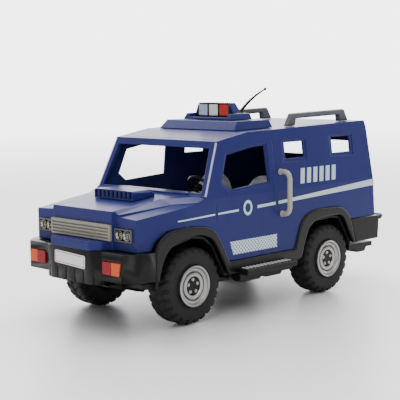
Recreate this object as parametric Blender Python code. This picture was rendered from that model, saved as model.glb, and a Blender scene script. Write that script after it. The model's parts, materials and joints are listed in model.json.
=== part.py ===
"""Toy expedition van with rolling wheels, a lift-off roof and a top-hinged tailgate.

Units are metres and +Z is up. The car faces -Y, so its own left side is +X.
The origin is on the ground under the middle of the car.
"""
import math

import bmesh
import bpy
from mathutils import Vector

# Fits and walls
GAP = 0.0003
RUN = 0.0005
WALL = 0.0024

# Body outline in side view
BODY_HALF = 0.0648
WAIST_Z = 0.0966
TUMBLEHOME = 0.1206
NOSE_Y = -0.1480
NOSE_TOP_Z = 0.0920
FENDER_Y = -0.1450
SCREEN_FOOT = (-0.0774, 0.0992)
SCREEN_TOP = (-0.0598, 0.1404)
ROOF_KINK = (-0.0241, 0.1462)
ROOF_REAR = (0.1340, 0.1497)
REAR_FOOT_Y = 0.1430
REAR_SLOPE = 0.0828
BELT_Z = 0.0624
SILL_TOP_Z = 0.0450
EAVE_Z = ROOF_REAR[1] - 0.0057

# Bounds that cutters and full-width blocks reach, past the body on every side
REACH = 0.0152
REACH_X = BODY_HALF + REACH
REACH_Y = REAR_FOOT_Y + 4 * REACH
REACH_LOW_Z = 0.0100
REACH_TOP_Z = ROOF_REAR[1] + REACH
OVERCUT = 0.0020

# Front end in plan and the raised hood
TAPER_START_Y = -0.1000
TAPER = 0.1111
BULGE_HALF = BODY_HALF - 0.0283
BULGE_FLARE_HALF = BODY_HALF - 0.0063
SCREEN_SETBACK = 0.0016
CREASE_INSETS = (0.0258, 0.0148, -0.0081)
CREASE_HEIGHTS = (0.0890, 0.0938, 0.0958)
FENDER_TOP_Z = 0.0871
FENDER_RISE = 0.1275
FENDER_FALL = 0.0490
NOSE_HALF = BULGE_HALF - 0.0005
LIP_Y = NOSE_Y - 0.0125
LIP_HALF = NOSE_HALF - 0.0130
LIP_BACK_HALF = NOSE_HALF - 0.0040
LIP_TOP_Z = 0.0693

RIDGE_DEPTH = 0.0030
RIDGE_HALF = BODY_HALF - 0.0192
RIDGE_FRONT_HALF = RIDGE_HALF - 0.0156
RIDGE_RISE = 0.0014

# Wheels and axles
WHEEL_R = 0.0305
FRONT_Y = -0.0896
REAR_Y = 0.0765
WHEEL_INSET = 0.0132
WHEEL_X = BODY_HALF - WHEEL_INSET
TYRE_HALF = 0.0110
LUGS = 24
LUG_DEPTH = 0.0019
RIM_SEAT_R = 0.0145
BEAD_R = RIM_SEAT_R + GAP
FLANGE_WIDTH = 0.0022
RIM_FLANGE_R = RIM_SEAT_R + FLANGE_WIDTH
RIM_FACE = 0.0129
HUB_R = 0.0061
HUB_DEPTH = 0.0055
NUTS = 5
NUT_R = 0.0014
NUT_PITCH_R = 0.0042
NUT_HEIGHT = 0.0035
AXLE_R = 0.0015
BEARING_R = 0.0020
BEARING_INSET = 0.0206
BEARING_X = WHEEL_X - BEARING_INSET
BEARING_HALF = 0.0040
BEARING_LENGTH = 0.0080
RETAINER_Z = 0.0250
RETAINER_THICK = 0.0030
SCREW_OFFSET = 0.0052
SCREW_HEAD_R = 0.0020
SCREW_HEAD = 0.0011

# Arch outlines: Y from the wheel centre, Z from the ground
FRONT_ARCH_INNER = [
    (-0.0392, 0.0397), (-0.0341, 0.0542), (-0.0243, 0.0648), (-0.0012, 0.0699),
    (0.0116, 0.0680), (0.0214, 0.0612), (0.0364, 0.0347)]
FRONT_ARCH_OUTER = [
    (-0.0426, 0.0619), (-0.0389, 0.0691), (-0.0280, 0.0759), (-0.0079, 0.0775),
    (0.0129, 0.0752), (0.0243, 0.0679), (0.0372, 0.0450)]
REAR_ARCH_INNER = [
    (-0.0400, 0.0361), (-0.0306, 0.0592), (-0.0183, 0.0670), (0.0055, 0.0683),
    (0.0170, 0.0664), (0.0259, 0.0537), (0.0334, 0.0410)]
REAR_ARCH_OUTER = [
    (-0.0485, 0.0450), (-0.0387, 0.0679), (-0.0225, 0.0757), (0.0055, 0.0758),
    (0.0155, 0.0743), (0.0288, 0.0619), (0.0363, 0.0408)]
FLARE_X = BODY_HALF + 0.0018
WELL_CLEARANCE = 0.0041
WELL_X = WHEEL_X - TYRE_HALF - WELL_CLEARANCE
WELL_WALL = 0.0020

ARCH_EDGE = 0.0012

# Bumpers, step and underframe
BUMPER_FOOT_Z = 0.0410
BUMPER_BACK_Y = FENDER_Y - 0.0015
BUMPER_DEPTH = 0.0105
BUMPER_FRONT_Y = BUMPER_BACK_Y - BUMPER_DEPTH
BUMPER_PROUD = 0.0032
BUMPER_BULGE_Y = BUMPER_FRONT_Y - BUMPER_PROUD
BUMPER_BULGE_HALF = NOSE_HALF - 0.0120
BUMPER_BULGE_SIDE = 0.0080
BUMPER_CORNER = (0.0108, 0.0114)
BUMPER_HALF = BODY_HALF + 0.0016
BUMPER_FLAT_HALF = BUMPER_HALF - BUMPER_CORNER[0]
BUMPER_SIDE_Y = BUMPER_FRONT_Y + BUMPER_CORNER[1]
BUMPER_CENTRE_FOOT_Z = 0.0370
GROOVES = 6
GROOVE_PITCH = 0.0106
GROOVE_WIDTH = 0.0013
GROOVE_DEPTH = 0.0012
REAR_BUMPER_Y = REAR_FOOT_Y + 0.0050
STEP_HALF = BODY_HALF - 0.0028
STEP_LENGTH = 0.0130
STEP_BACK_Y = REAR_BUMPER_Y + STEP_LENGTH
STEP_TOP_Z = 0.0610
STEP_THICK = 0.0040
STEP_BRACKET_X = (STEP_HALF - 0.0080, STEP_HALF - 0.0020)
STEP_BRACKET_DROP = 0.0090
STEP_BRACKET_REACH = 0.0055
BUMPER_WALL = 0.0050
PAN_FRONT_Y = -0.1370
PAN_TOP_Z = 0.0380
PAN_FOOT_Z = 0.0340
BOX_FOOT_Z = 0.0250
BOX_HALF = 0.0460
STEP_RISE = 0.0040
STEP_WIDTHS = (0.0100, 0.0140)
BOX_Y = (-0.0480, 0.0360)
VALANCE_LENGTH = 0.0245
VALANCE_HALF = 0.0580
VALANCE_FOOT_Z = 0.0290
SUMP_HALF = 0.0180
SUMP_Y = (-0.0170, 0.0280)
SUMP_DROP = 0.0030
SKID_HALF = 0.0350
SKID_Y = (-0.1530, -0.1160)
SPINE_HALF = 0.0260
SPINE_Y = (-0.1150, 0.1190)

# Small parts on the front
PLATE_HALF = 0.0185
PLATE_Z = (0.0480, 0.0600)
PLATE_THICK = 0.0005
LAMP_Z = (0.0462, 0.0560)
LAMP_WIDTHS = (0.0098, 0.0099)
LAMP_SPACE = 0.0003
ORANGE_LAMP_X = (BUMPER_FLAT_HALF - 0.0006 - LAMP_WIDTHS[1], BUMPER_FLAT_HALF - 0.0006)
RED_LAMP_X = (ORANGE_LAMP_X[0] - LAMP_SPACE - LAMP_WIDTHS[0], ORANGE_LAMP_X[0] - LAMP_SPACE)
LAMP_SLANT = 0.0016
LAMP_PROUD = 0.0010
LAMP_POCKET = 0.0020
GRILLE_HALF = NOSE_HALF - 0.0005
GRILLE_Z = (0.0700, 0.0822)
GRILLE_BARS = 4
HEADLIGHT_INSETS = (0.0012, 0.0044)
HEADLIGHT_Z = (0.0700, 0.0796)
HEADLIGHT_R = 0.0040

# Hood scoop
SCOOP_HALF = 0.0230
SCOOP_FRONT_Y = -0.1160
SCOOP_TOP_Z = 0.1033
SCOOP_TOP_BACK_Y = -0.0950
SCOOP_BACK_Y = -0.0890
SCOOP_BACK_HALF = 0.0190
SCOOP_SLOTS = 9
SLOT_PITCH = 0.0051
SLOT_WIDTH = 0.0025
SLOT_HEIGHT = 0.0050

# Windows in side view and the windscreen in front view
DOOR_WINDOW = [
    (-0.0498, 0.1292), (-0.0572, 0.1086), (-0.0486, 0.1020), (-0.0026, 0.1047),
    (-0.0029, 0.1345), (-0.0187, 0.1340)]
SLOT_WINDOW_Y = (0.0210, 0.0458)
SLOT_WINDOW_Z = (0.1220, 0.1355)
REAR_WINDOW_Y = (0.0847, 0.1108)
REAR_WINDOW_Z = (0.1230, 0.1369)
PILLAR_WIDTHS = (0.0053, 0.0062)
SCREEN_FOOT_Z = 0.1008
SCREEN_TOP_Z = 0.1348
FRAME_EDGE = 0.0030
FRAME_HEAD = 0.0012
FRAME_DEPTH = 0.0006
FRAME_OF_DOOR = [
    (-0.0506, 0.1306), (-0.0592, 0.1082), (-0.0494, 0.0998), (-0.0010, 0.1028),
    (-0.0014, 0.1361), (-0.0189, 0.1356)]
DOOR_SEAMS_Y = (-0.0659, 0.0061)
SEAM_FOOT_Z = 0.0780
SEAM_TOPS_Z = (0.0925, 0.1385)
SEAM_WIDTH = 0.0005
SEAM_DEPTH = 0.0004

# Roof panel and what stands on it
ROOF_BORDER = 0.0052
PANEL_HALF = BODY_HALF - TUMBLEHOME * (ROOF_REAR[1] - WAIST_Z) - ROOF_BORDER
PANEL_FRONT_Y = -0.0545
PANEL_REAR_Y = 0.1260
PANEL_THICK = 0.0025
LEDGE = 0.0020
LEDGE_WIDTH = 0.0026
PLATFORM_HALF = PANEL_HALF - 0.0082
PLATFORM_FRONT_Y = -0.0240
PLATFORM_TOP_Y = -0.0168
PLATFORM_REAR_Y = 0.0240
PLATFORM_REAR_SLOPE = 0.0012
PLATFORM_RISE = 0.0078
PLATFORM_EDGE = 0.0030
BASE_HALF = 0.0294
BASE_FRONT_Y = -0.0093
BASE_REAR_Y = 0.0155
BASE_HEIGHT = 0.0052
NOTCH_HEIGHT = 0.0020
LIGHT_HALF = 0.0222
LIGHT_TOP_HALF = 0.0174
LIGHT_FRONT_Y = -0.0023
LIGHT_REAR_Y = 0.0098
LIGHT_HEIGHT = 0.0086
FRAME_THICK = 0.0018
FRAME_HALF = 0.0218
LENS_RISE = (0.0010, 0.0106)
LENS_HALF = 0.0176
LENS_SPACE = 0.0016
LENS_THICK = 0.0010
LENS_SUNK = 0.0004
RAIL_X = PANEL_HALF - 0.0072
RAIL_HALF = 0.0028
RAIL_FRONT_Y = 0.0385
RAIL_REAR_Y = 0.1245
RAIL_RISE = 0.0110
RAIL_THICK = 0.0038
RAIL_EDGE = 0.0007
RAIL_FOOT_LENGTHS = (0.0090, 0.0118)
ANTENNA_X = 0.0190
ANTENNA_FOOT_Y = 0.0125
ANTENNA_TIP = (0.0420, 0.1790)
ANTENNA_FOOT_R = 0.0022
ANTENNA_R = 0.0009
ANTENNA_BALL_R = 0.0014

# Tailgate and its hinge
HINGE_Y = ROOF_REAR[0]
HINGE_Z = ROOF_REAR[1] - 0.0032
BARREL_R = 0.0027
PIN_R = 0.0010
PIN_BORE_R = 0.0013
PIN_DEPTH = 0.0014
GATE_THICK = 0.0030
GATE_FOOT_Z = 0.0633
GATE_BEND = 0.0040
GATE_WINDOW_X = (0.0120, 0.0420)
GATE_WINDOW_Z = (0.1160, 0.1305)
PULL_HALF = 0.0200
PULL_Z = (0.0670, 0.0695)
PULL_PROUD = 0.0015

# Side steps and grab handles
BOARD_WIDTH = 0.0106
BOARD_X = (FLARE_X + GAP, FLARE_X + GAP + BOARD_WIDTH)
BOARD_Y = (-0.0440, 0.0170)
BOARD_TOP_Z = 0.0385
BOARD_FOOT_Z = 0.0340
TREAD_GROOVES = 3
TREAD_PITCH = 0.0026
TREAD_WIDTH = 0.0010
TREAD_DEPTH = 0.0006
HANDLE_Y = 0.0124
HANDLE_Z = (0.0768, 0.1120)
HANDLE_R = 0.0022
HANDLE_STAND = 0.0086
HANDLE_BEND = 0.0056

# Cabin
SEAT_X = (0.0120, BODY_HALF - 0.0168)
SEAT_Y = (-0.0250, 0.0380)
SEAT_BASE_Z = (0.0600, 0.0740)
SEAT_BACK_Z = 0.1060
SEAT_BACK_THICK = 0.0140
SEAT_EDGE = 0.0022
DASH_Y = (-0.0700, -0.0520)
DASH_Z = (0.0850, 0.0985)
WHEEL_POS = (0.0240, -0.0430, 0.1010)
STEER_R = 0.0110
STEER_TUBE_R = 0.0014
COLUMN_R = 0.0018
COLUMN_LENGTH = 0.0140
COLUMN_TILT = math.radians(55)

# Round pieces
RING_STEPS = 20
PIN_STEPS = 16


def linear(channel):
    """One display colour channel from 0 to 255 as a linear value."""
    value = channel / 255
    return value / 12.92 if value <= 0.04045 else ((value + 0.055) / 1.055) ** 2.4


def material(name, color, roughness, metallic=0.0):
    made = bpy.data.materials.new(name)
    made.use_nodes = True
    shader = made.node_tree.nodes["Principled BSDF"]
    shader.inputs["Base Color"].default_value = [linear(c) for c in color] + [1.0]
    shader.inputs["Roughness"].default_value = roughness
    shader.inputs["Metallic"].default_value = metallic
    return made


def clear_scene():
    for obj in list(bpy.data.objects):
        bpy.data.objects.remove(obj, do_unlink=True)


def place(name, bm, finish, smooth=False):
    """Turn a bmesh into a named object with outward faces."""
    bmesh.ops.recalc_face_normals(bm, faces=bm.faces)
    mesh = bpy.data.meshes.new(name)
    bm.to_mesh(mesh)
    bm.free()
    if smooth:
        mesh.shade_smooth()
        mesh.set_sharp_from_angle(angle=math.radians(35))
    obj = bpy.data.objects.new(name, mesh)
    bpy.context.scene.collection.objects.link(obj)
    if finish:
        mesh.materials.append(finish)
    return obj


def spread(axis, point, along):
    """A point of a plane outline, at a distance along the axis it is drawn across."""
    a, b = point
    return {"X": (along, a, b), "Y": (a, along, b), "Z": (a, b, along)}[axis]


def add_prism(bm, axis, outline, low, high):
    """Extrude a closed outline along one axis."""
    rings = []
    for along in (low, high):
        rings.append([bm.verts.new(spread(axis, point, along)) for point in outline])
    add_skin(bm, rings)


def add_skin(bm, rings):
    """Join rings of equal count into one closed body with capped ends."""
    count = len(rings[0])
    for near, far in zip(rings, rings[1:]):
        for i in range(count):
            j = (i + 1) % count
            bm.faces.new((near[i], near[j], far[j], far[i]))
    bm.faces.new(list(reversed(rings[0])))
    bm.faces.new(rings[-1])


def add_box(bm, x, y, z):
    add_prism(bm, "Z", [(x[0], y[0]), (x[1], y[0]), (x[1], y[1]), (x[0], y[1])], z[0], z[1])


def add_loft(bm, sections):
    """A closed body through cross sections given as lists of 3-D points."""
    add_skin(bm, [[bm.verts.new(point) for point in section] for section in sections])


def add_cylinder(bm, axis, centre, radius, low, high, steps=PIN_STEPS):
    ring = []
    for i in range(steps):
        turn = 2 * math.pi * (i + 0.5) / steps
        ring.append((centre[0] + radius * math.cos(turn), centre[1] + radius * math.sin(turn)))
    add_prism(bm, axis, ring, low, high)


def add_turned(bm, profile, centre, steps):
    """Revolve a closed profile of (x, radius) about an axis along X."""
    rings = []
    for i in range(steps):
        turn = 2 * math.pi * (i + 0.5) / steps
        ring = []
        for x, radius in profile:
            ring.append(bm.verts.new((
                x, centre[0] + radius * math.cos(turn), centre[1] + radius * math.sin(turn))))
        rings.append(ring)
    count = len(profile)
    for i in range(steps):
        near, far = rings[i], rings[(i + 1) % steps]
        for k in range(count):
            m = (k + 1) % count
            bm.faces.new((near[k], near[m], far[m], far[k]))


def add_bar(bm, route, radius, steps=10):
    """A round bar along a route that stays in one plane across Y."""
    rings = []
    across = Vector((0, 1, 0))
    for i, point in enumerate(route):
        along = (route[min(i + 1, len(route) - 1)] - route[max(i - 1, 0)]).normalized()
        outward = along.cross(across)
        ring = []
        for k in range(steps):
            angle = 2 * math.pi * k / steps
            offset = (across * math.cos(angle) + outward * math.sin(angle)) * radius
            ring.append(bm.verts.new(point + offset))
        rings.append(ring)
    add_skin(bm, rings)


def combine(target, other, operation):
    """Boolean with another object, which then only guides the shape."""
    step = target.modifiers.new(other.name, "BOOLEAN")
    step.operation = operation
    step.object = other
    other.hide_render = True
    other.display_type = "WIRE"


def axis_line(name, place_at, lean=0.0):
    """An empty on a joint's axis, which the moving pieces hang from."""
    line = bpy.data.objects.new(name, None)
    bpy.context.scene.collection.objects.link(line)
    line.location = place_at
    line.rotation_euler = (lean, 0, 0)
    bpy.context.view_layer.update()
    return line


def guide(name, bm):
    bmesh.ops.triangulate(bm, faces=bm.faces)
    return place(name, bm, None)


def mirrored(outline):
    """Close a right-hand half outline with its mirror image across X = 0."""
    return outline + [(-a, b) for a, b in reversed(outline)]


def rounded(obj, width, segments=2, angle=50):
    """Round the sharp edges of a plain moulded piece."""
    soften = obj.modifiers.new("edge_round", "BEVEL")
    soften.width = width
    soften.segments = segments
    soften.limit_method = "ANGLE"
    soften.angle_limit = math.radians(angle)
    return obj


def platform_top():
    """Height of the level deck, which the light bar stands on."""
    return roof_z(PLATFORM_TOP_Y) + PLATFORM_RISE


def base_top():
    return platform_top() + GAP + BASE_HEIGHT


def notch_top():
    """Floor of the notch in the base, which the lens frame stands on."""
    return platform_top() + GAP + NOTCH_HEIGHT


def light_top():
    return base_top() + GAP + LIGHT_HEIGHT


def roof_z(y):
    """Height of the roof surface above the middle of the car."""
    low, high = (SCREEN_TOP, ROOF_KINK) if y < ROOF_KINK[0] else (ROOF_KINK, ROOF_REAR)
    return low[1] + (high[1] - low[1]) * (y - low[0]) / (high[0] - low[0])


def rear_y(z):
    """Plane of the leaning rear end."""
    return REAR_FOOT_Y - REAR_SLOPE * (z - BELT_Z)


def side_x(z):
    """Half width of the body outside at a height."""
    return BODY_HALF - TUMBLEHOME * max(z - WAIST_Z, 0)


def hood_z(y):
    """Top of the raised middle of the hood."""
    rise = (SCREEN_FOOT[1] - NOSE_TOP_Z) / (SCREEN_FOOT[0] - NOSE_Y)
    return NOSE_TOP_Z + rise * (y - NOSE_Y)


def fender_z(x, y):
    """Top of the flat fender beside the hood."""
    corner = BODY_HALF - TAPER * (TAPER_START_Y - FENDER_Y)
    return FENDER_TOP_Z - FENDER_FALL * (x - corner) + FENDER_RISE * (y - FENDER_Y)


def arch(outline, wheel_y):
    return [(wheel_y + y, z) for y, z in outline]


def grown(outline, wheel_y, amount):
    """An arch outline moved outward from the wheel by an amount."""
    moved = []
    for y, z in arch(outline, wheel_y):
        away = Vector((y - wheel_y, z - WHEEL_R)).normalized() * amount
        moved.append((y + away.x, z + away.y))
    return moved


def body_outline():
    """Side view of the body block, before its arches are cut."""
    step_y = FRONT_Y + FRONT_ARCH_OUTER[0][0] + 0.003
    rear_step_y = REAR_Y + REAR_ARCH_OUTER[-2][0]
    return [
        (NOSE_Y, BELT_Z + GAP), (NOSE_Y, NOSE_TOP_Z), SCREEN_FOOT, SCREEN_TOP, ROOF_KINK,
        ROOF_REAR, (rear_y(EAVE_Z), EAVE_Z), (rear_y(BELT_Z + GAP), BELT_Z + GAP),
        (rear_step_y, BELT_Z + GAP), (rear_step_y, SILL_TOP_Z + GAP),
        (step_y, SILL_TOP_Z + GAP), (step_y, BELT_Z + GAP)]


def section_outline(inset, low_z, high_z):
    """Cross section with leaning upper sides, set in from the outer skin."""
    return mirrored([
        (side_x(low_z) - inset, low_z), (BODY_HALF - inset, WAIST_Z),
        (side_x(high_z) - inset, high_z)])


def fender_section(y, edge_half, inset, crease_z):
    """Section of the space above one fender, beside the raised hood."""
    crease_x = BODY_HALF - inset
    return [
        Vector((edge_half, y, hood_z(y))), Vector((crease_x, y, crease_z)),
        Vector((crease_x, y, fender_z(crease_x, y))), Vector((REACH_X, y, fender_z(REACH_X, y))),
        Vector((REACH_X, y, ROOF_REAR[1])), Vector((edge_half, y, ROOF_REAR[1]))]


def hood_space(name, side):
    """The space beside the raised hood and above one fender."""
    bm = bmesh.new()
    stations = (NOSE_Y - OVERCUT, TAPER_START_Y, SCREEN_FOOT[0] - SCREEN_SETBACK)
    halves = (BULGE_HALF - OVERCUT, BULGE_HALF, BULGE_FLARE_HALF)
    sections = []
    for y, half, inset, height in zip(stations, halves, CREASE_INSETS, CREASE_HEIGHTS):
        ring = fender_section(y, half, inset, height)
        sections.append([Vector((side * p.x, p.y, p.z)) for p in ring])
    add_loft(bm, sections)
    return guide(name, bm)


def front_corners():
    """The tapered sides and set-back fender fronts, as one cutter."""
    bm = bmesh.new()
    near_y = TAPER_START_Y + OVERCUT
    far_y = NOSE_Y - OVERCUT
    near_x = BODY_HALF + TAPER * OVERCUT
    far_x = BODY_HALF - TAPER * (TAPER_START_Y - far_y)
    for sign in (1, -1):
        taper = [(far_x, far_y), (near_x, near_y), (REACH_X, near_y), (REACH_X, far_y)]
        add_prism(bm, "Z", [(sign * x, y) for x, y in taper], REACH_LOW_Z, ROOF_REAR[1])
    return guide("front_corners", bm)


def fender_fronts():
    bm = bmesh.new()
    for sign in (1, -1):
        front = [(NOSE_HALF, FENDER_Y), (REACH_X, FENDER_Y), (REACH_X, NOSE_Y - 2 * OVERCUT),
                 (NOSE_HALF - 0.0015, NOSE_Y - 2 * OVERCUT)]
        add_prism(bm, "Z", [(sign * x, y) for x, y in front], REACH_LOW_Z, ROOF_REAR[1])
    return guide("fender_fronts", bm)


def cabin_space():
    """Room inside the body, open below and at the tailgate."""
    drop = PANEL_THICK + GAP + LEDGE
    low_z = REACH_LOW_Z
    beyond_y = REACH_Y
    beam_y = HINGE_Y - BARREL_R - RUN
    return [
        (SCREEN_FOOT[0] + WALL, low_z), (SCREEN_FOOT[0] + WALL, SCREEN_FOOT[1]),
        (SCREEN_TOP[0] + WALL, SCREEN_TOP[1] - drop), (ROOF_KINK[0], ROOF_KINK[1] - drop),
        (beam_y, roof_z(beam_y) - drop), (beyond_y, roof_z(beam_y) - drop), (beyond_y, low_z)]


def cut_leaning(name, outline, inset):
    """A cutter with a side outline and the body's leaning cross section."""
    bm = bmesh.new()
    add_prism(bm, "X", outline, -REACH_X, REACH_X)
    space = guide(name, bm)
    bm = bmesh.new()
    add_prism(bm, "Y", section_outline(inset, 0.0, REACH_TOP_Z + OVERCUT), -REACH_Y - OVERCUT,
              REACH_Y + OVERCUT)
    combine(space, guide(name + "_section", bm), "INTERSECT")
    return space


def engine_space():
    """Hollow under the hood and the fenders."""
    bm = bmesh.new()
    back_y = SCREEN_FOOT[0] + 2 * WALL
    fender_half = BODY_HALF - TAPER * (TAPER_START_Y - FENDER_Y) - WALL - 0.0005
    low_z = REACH_LOW_Z
    slope = [
        (FENDER_Y + WALL, low_z), (FENDER_Y + WALL, fender_z(fender_half, FENDER_Y) - WALL),
        (back_y, fender_z(fender_half, TAPER_START_Y) - WALL), (back_y, low_z)]
    add_prism(bm, "X", slope, -fender_half, fender_half)
    lower = guide("engine_space", bm)
    bm = bmesh.new()
    half = BULGE_HALF - WALL - 0.002
    bulge = [
        (NOSE_Y + WALL, BELT_Z + 0.008), (NOSE_Y + WALL, hood_z(NOSE_Y) - WALL),
        (back_y + 0.001, hood_z(back_y) - WALL), (back_y + 0.001, BELT_Z + 0.008)]
    add_prism(bm, "X", bulge, -half, half)
    combine(lower, guide("bulge_space", bm), "UNION")
    return lower


def windscreen_hole():
    bm = bmesh.new()
    hole = mirrored([
        (side_x(SCREEN_FOOT_Z) - PILLAR_WIDTHS[0], SCREEN_FOOT_Z),
        (side_x(SCREEN_TOP_Z) - PILLAR_WIDTHS[1], SCREEN_TOP_Z)])
    add_prism(bm, "Y", hole, SCREEN_FOOT[0] - 0.010, SCREEN_TOP[0] + 0.006)
    return guide("windscreen_hole", bm)


def side_window_holes():
    bm = bmesh.new()
    add_prism(bm, "X", DOOR_WINDOW, -REACH_X, REACH_X)
    for y, z in ((SLOT_WINDOW_Y, SLOT_WINDOW_Z), (REAR_WINDOW_Y, REAR_WINDOW_Z)):
        add_box(bm, (-REACH_X, REACH_X), y, z)
    return guide("side_window_holes", bm)


def arch_holes():
    bm = bmesh.new()
    for outline, wheel_y in ((FRONT_ARCH_OUTER, FRONT_Y), (REAR_ARCH_OUTER, REAR_Y)):
        edge = grown(outline, wheel_y, GAP)
        edge = [(edge[0][0], REACH_LOW_Z)] + edge + [(edge[-1][0], REACH_LOW_Z)]
        add_prism(bm, "X", edge, -REACH_X, REACH_X)
    return guide("arch_holes", bm)


def roof_hole():
    """Rebate for the lift-off panel and the hole inside its ledge."""
    bm = bmesh.new()
    front, rear = PANEL_FRONT_Y - GAP, PANEL_REAR_Y + GAP
    drop = PANEL_THICK + GAP
    edge = [(front, roof_z(front) - drop), (ROOF_KINK[0], ROOF_KINK[1] - drop),
            (rear, roof_z(rear) - drop), (rear, REACH_TOP_Z), (front, REACH_TOP_Z)]
    add_prism(bm, "X", edge, -PANEL_HALF - GAP, PANEL_HALF + GAP)
    rebate = guide("roof_rebate", bm)
    bm = bmesh.new()
    half = PANEL_HALF - LEDGE_WIDTH
    add_box(bm, (-half, half), (front + LEDGE_WIDTH, rear - LEDGE_WIDTH),
            (SCREEN_FOOT[1], ROOF_REAR[1] + OVERCUT))
    combine(rebate, guide("roof_opening", bm), "UNION")
    return rebate


def hinge_channel():
    """Space between the side walls for the tailgate's barrel."""
    low = roof_z(HINGE_Y) - PANEL_THICK - GAP - LEDGE - OVERCUT / 2
    front = HINGE_Y - BARREL_R - RUN
    return [(front, low), (REACH_Y, low), (REACH_Y, REACH_TOP_Z), (front, REACH_TOP_Z)]


def pin_sockets():
    """Blind holes in the side walls for the ends of the hinge pin."""
    bm = bmesh.new()
    half = side_x(ROOF_REAR[1]) - WALL + PIN_DEPTH + GAP
    add_cylinder(bm, "X", (HINGE_Y, HINGE_Z), PIN_BORE_R, -half, half, 12)
    return guide("pin_sockets", bm)


def door_seams():
    """Shallow moulded lines at the front and back of each side door."""
    bm = bmesh.new()
    low = SEAM_FOOT_Z
    for sign in (1, -1):
        for y, high in zip(DOOR_SEAMS_Y, SEAM_TOPS_Z):
            wall = [
                (BODY_HALF - SEAM_DEPTH, low), (BODY_HALF - SEAM_DEPTH, min(WAIST_Z, high)),
                (side_x(high) - SEAM_DEPTH, high), (REACH_X, high), (REACH_X, low)]
            if high <= WAIST_Z:
                wall.pop(1)
            wall = [(sign * x, z) for x, z in wall]
            add_prism(bm, "Y", wall, y - SEAM_WIDTH / 2, y + SEAM_WIDTH / 2)
    return guide("door_seams", bm)


def window_frames():
    """Shallow recesses in the side walls around the windows."""
    bm = bmesh.new()
    outlines = [FRAME_OF_DOOR]
    for (front, rear), (low, high) in (
            (SLOT_WINDOW_Y, SLOT_WINDOW_Z), (REAR_WINDOW_Y, REAR_WINDOW_Z)):
        front, rear, low, high = (
            front - FRAME_EDGE, rear + FRAME_EDGE, low - FRAME_EDGE, high + FRAME_HEAD)
        outlines.append([(front, low), (rear, low), (rear, high), (front, high)])
    for outline in outlines:
        for side in (1, -1):
            floor = [(side * (side_x(z) - FRAME_DEPTH), y, z) for y, z in outline]
            beyond = [(side * REACH_X, y, z) for y, z in outline]
            add_loft(bm, [floor, beyond])
    return guide("window_frames", bm)


def lip_block():
    """Shelf that the nose carries over the bumper."""
    bm = bmesh.new()
    back = NOSE_Y + 0.0015
    shelf = [
        (LIP_BACK_HALF, back), (LIP_BACK_HALF - 0.002, LIP_Y + 0.0065), (LIP_HALF, LIP_Y)]
    add_prism(bm, "Z", mirrored(shelf), BELT_Z + GAP, LIP_TOP_Z)
    return guide("lip_block", bm)


def cowl_ridge():
    """Raised lip at the foot of the windscreen."""
    bm = bmesh.new()
    front = SCREEN_FOOT[0] - RIDGE_DEPTH
    ridge = [(RIDGE_HALF, SCREEN_FOOT[0] + 0.0005), (RIDGE_HALF, front + 0.0015),
             (RIDGE_FRONT_HALF, front)]
    add_prism(bm, "Z", mirrored(ridge), hood_z(front) - OVERCUT, SCREEN_FOOT[1] + RIDGE_RISE)
    return guide("cowl_ridge", bm)


def make_body_shell(paint):
    bm = bmesh.new()
    add_prism(bm, "X", body_outline(), -REACH_X, REACH_X)
    shell = place("body_shell", bm, paint)
    bm = bmesh.new()
    add_prism(bm, "Y", section_outline(0, REACH_LOW_Z, REACH_TOP_Z), -REACH_Y, REACH_Y)
    combine(shell, guide("outer_section", bm), "INTERSECT")
    for cutter in (
            front_corners(), fender_fronts(), hood_space("hood_space_left", 1),
            hood_space("hood_space_right", -1)):
        combine(shell, cutter, "DIFFERENCE")
    combine(shell, lip_block(), "UNION")
    combine(shell, cowl_ridge(), "UNION")
    for name, space in (("cabin_space", cabin_space()), ("hinge_channel", hinge_channel())):
        combine(shell, cut_leaning(name, space, WALL), "DIFFERENCE")
    for cutter in (
            engine_space(), arch_holes(), roof_hole(), windscreen_hole(),
            side_window_holes(), pin_sockets(), door_seams(), window_frames()):
        combine(shell, cutter, "DIFFERENCE")
    return shell


def make_hood_scoop(paint):
    """Raised air scoop with a row of vertical slots in its front."""
    bm = bmesh.new()
    lift = GAP
    back_y = SCOOP_BACK_Y
    front = [
        (SCOOP_HALF, hood_z(SCOOP_FRONT_Y) + lift), (SCOOP_HALF, SCOOP_TOP_Z - 0.0012),
        (SCOOP_HALF - 0.0012, SCOOP_TOP_Z)]
    middle = [
        (SCOOP_HALF, hood_z(SCOOP_TOP_BACK_Y) + lift), (SCOOP_HALF, SCOOP_TOP_Z - 0.0022),
        (SCOOP_HALF - 0.0030, SCOOP_TOP_Z)]
    rear = [
        (SCOOP_BACK_HALF, hood_z(back_y) + lift),
        (SCOOP_BACK_HALF, hood_z(back_y) + lift + 0.0006),
        (SCOOP_BACK_HALF - 0.0010, hood_z(back_y) + lift + 0.0010)]
    sections = []
    for y, half in ((SCOOP_FRONT_Y, front), (SCOOP_TOP_BACK_Y, middle), (back_y, rear)):
        sections.append([Vector((x, y, z)) for x, z in mirrored(half)])
    add_loft(bm, sections)
    scoop = place("hood_scoop", bm, paint)
    bm = bmesh.new()
    base_z = hood_z(SCOOP_FRONT_Y) + lift + 0.0014
    for i in range(SCOOP_SLOTS):
        x = (i - (SCOOP_SLOTS - 1) / 2) * SLOT_PITCH
        add_box(
            bm, (x - SLOT_WIDTH / 2, x + SLOT_WIDTH / 2),
            (SCOOP_FRONT_Y - 0.001, SCOOP_FRONT_Y + 0.003), (base_z, base_z + SLOT_HEIGHT))
    combine(scoop, guide("scoop_slots", bm), "DIFFERENCE")
    return scoop


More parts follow.
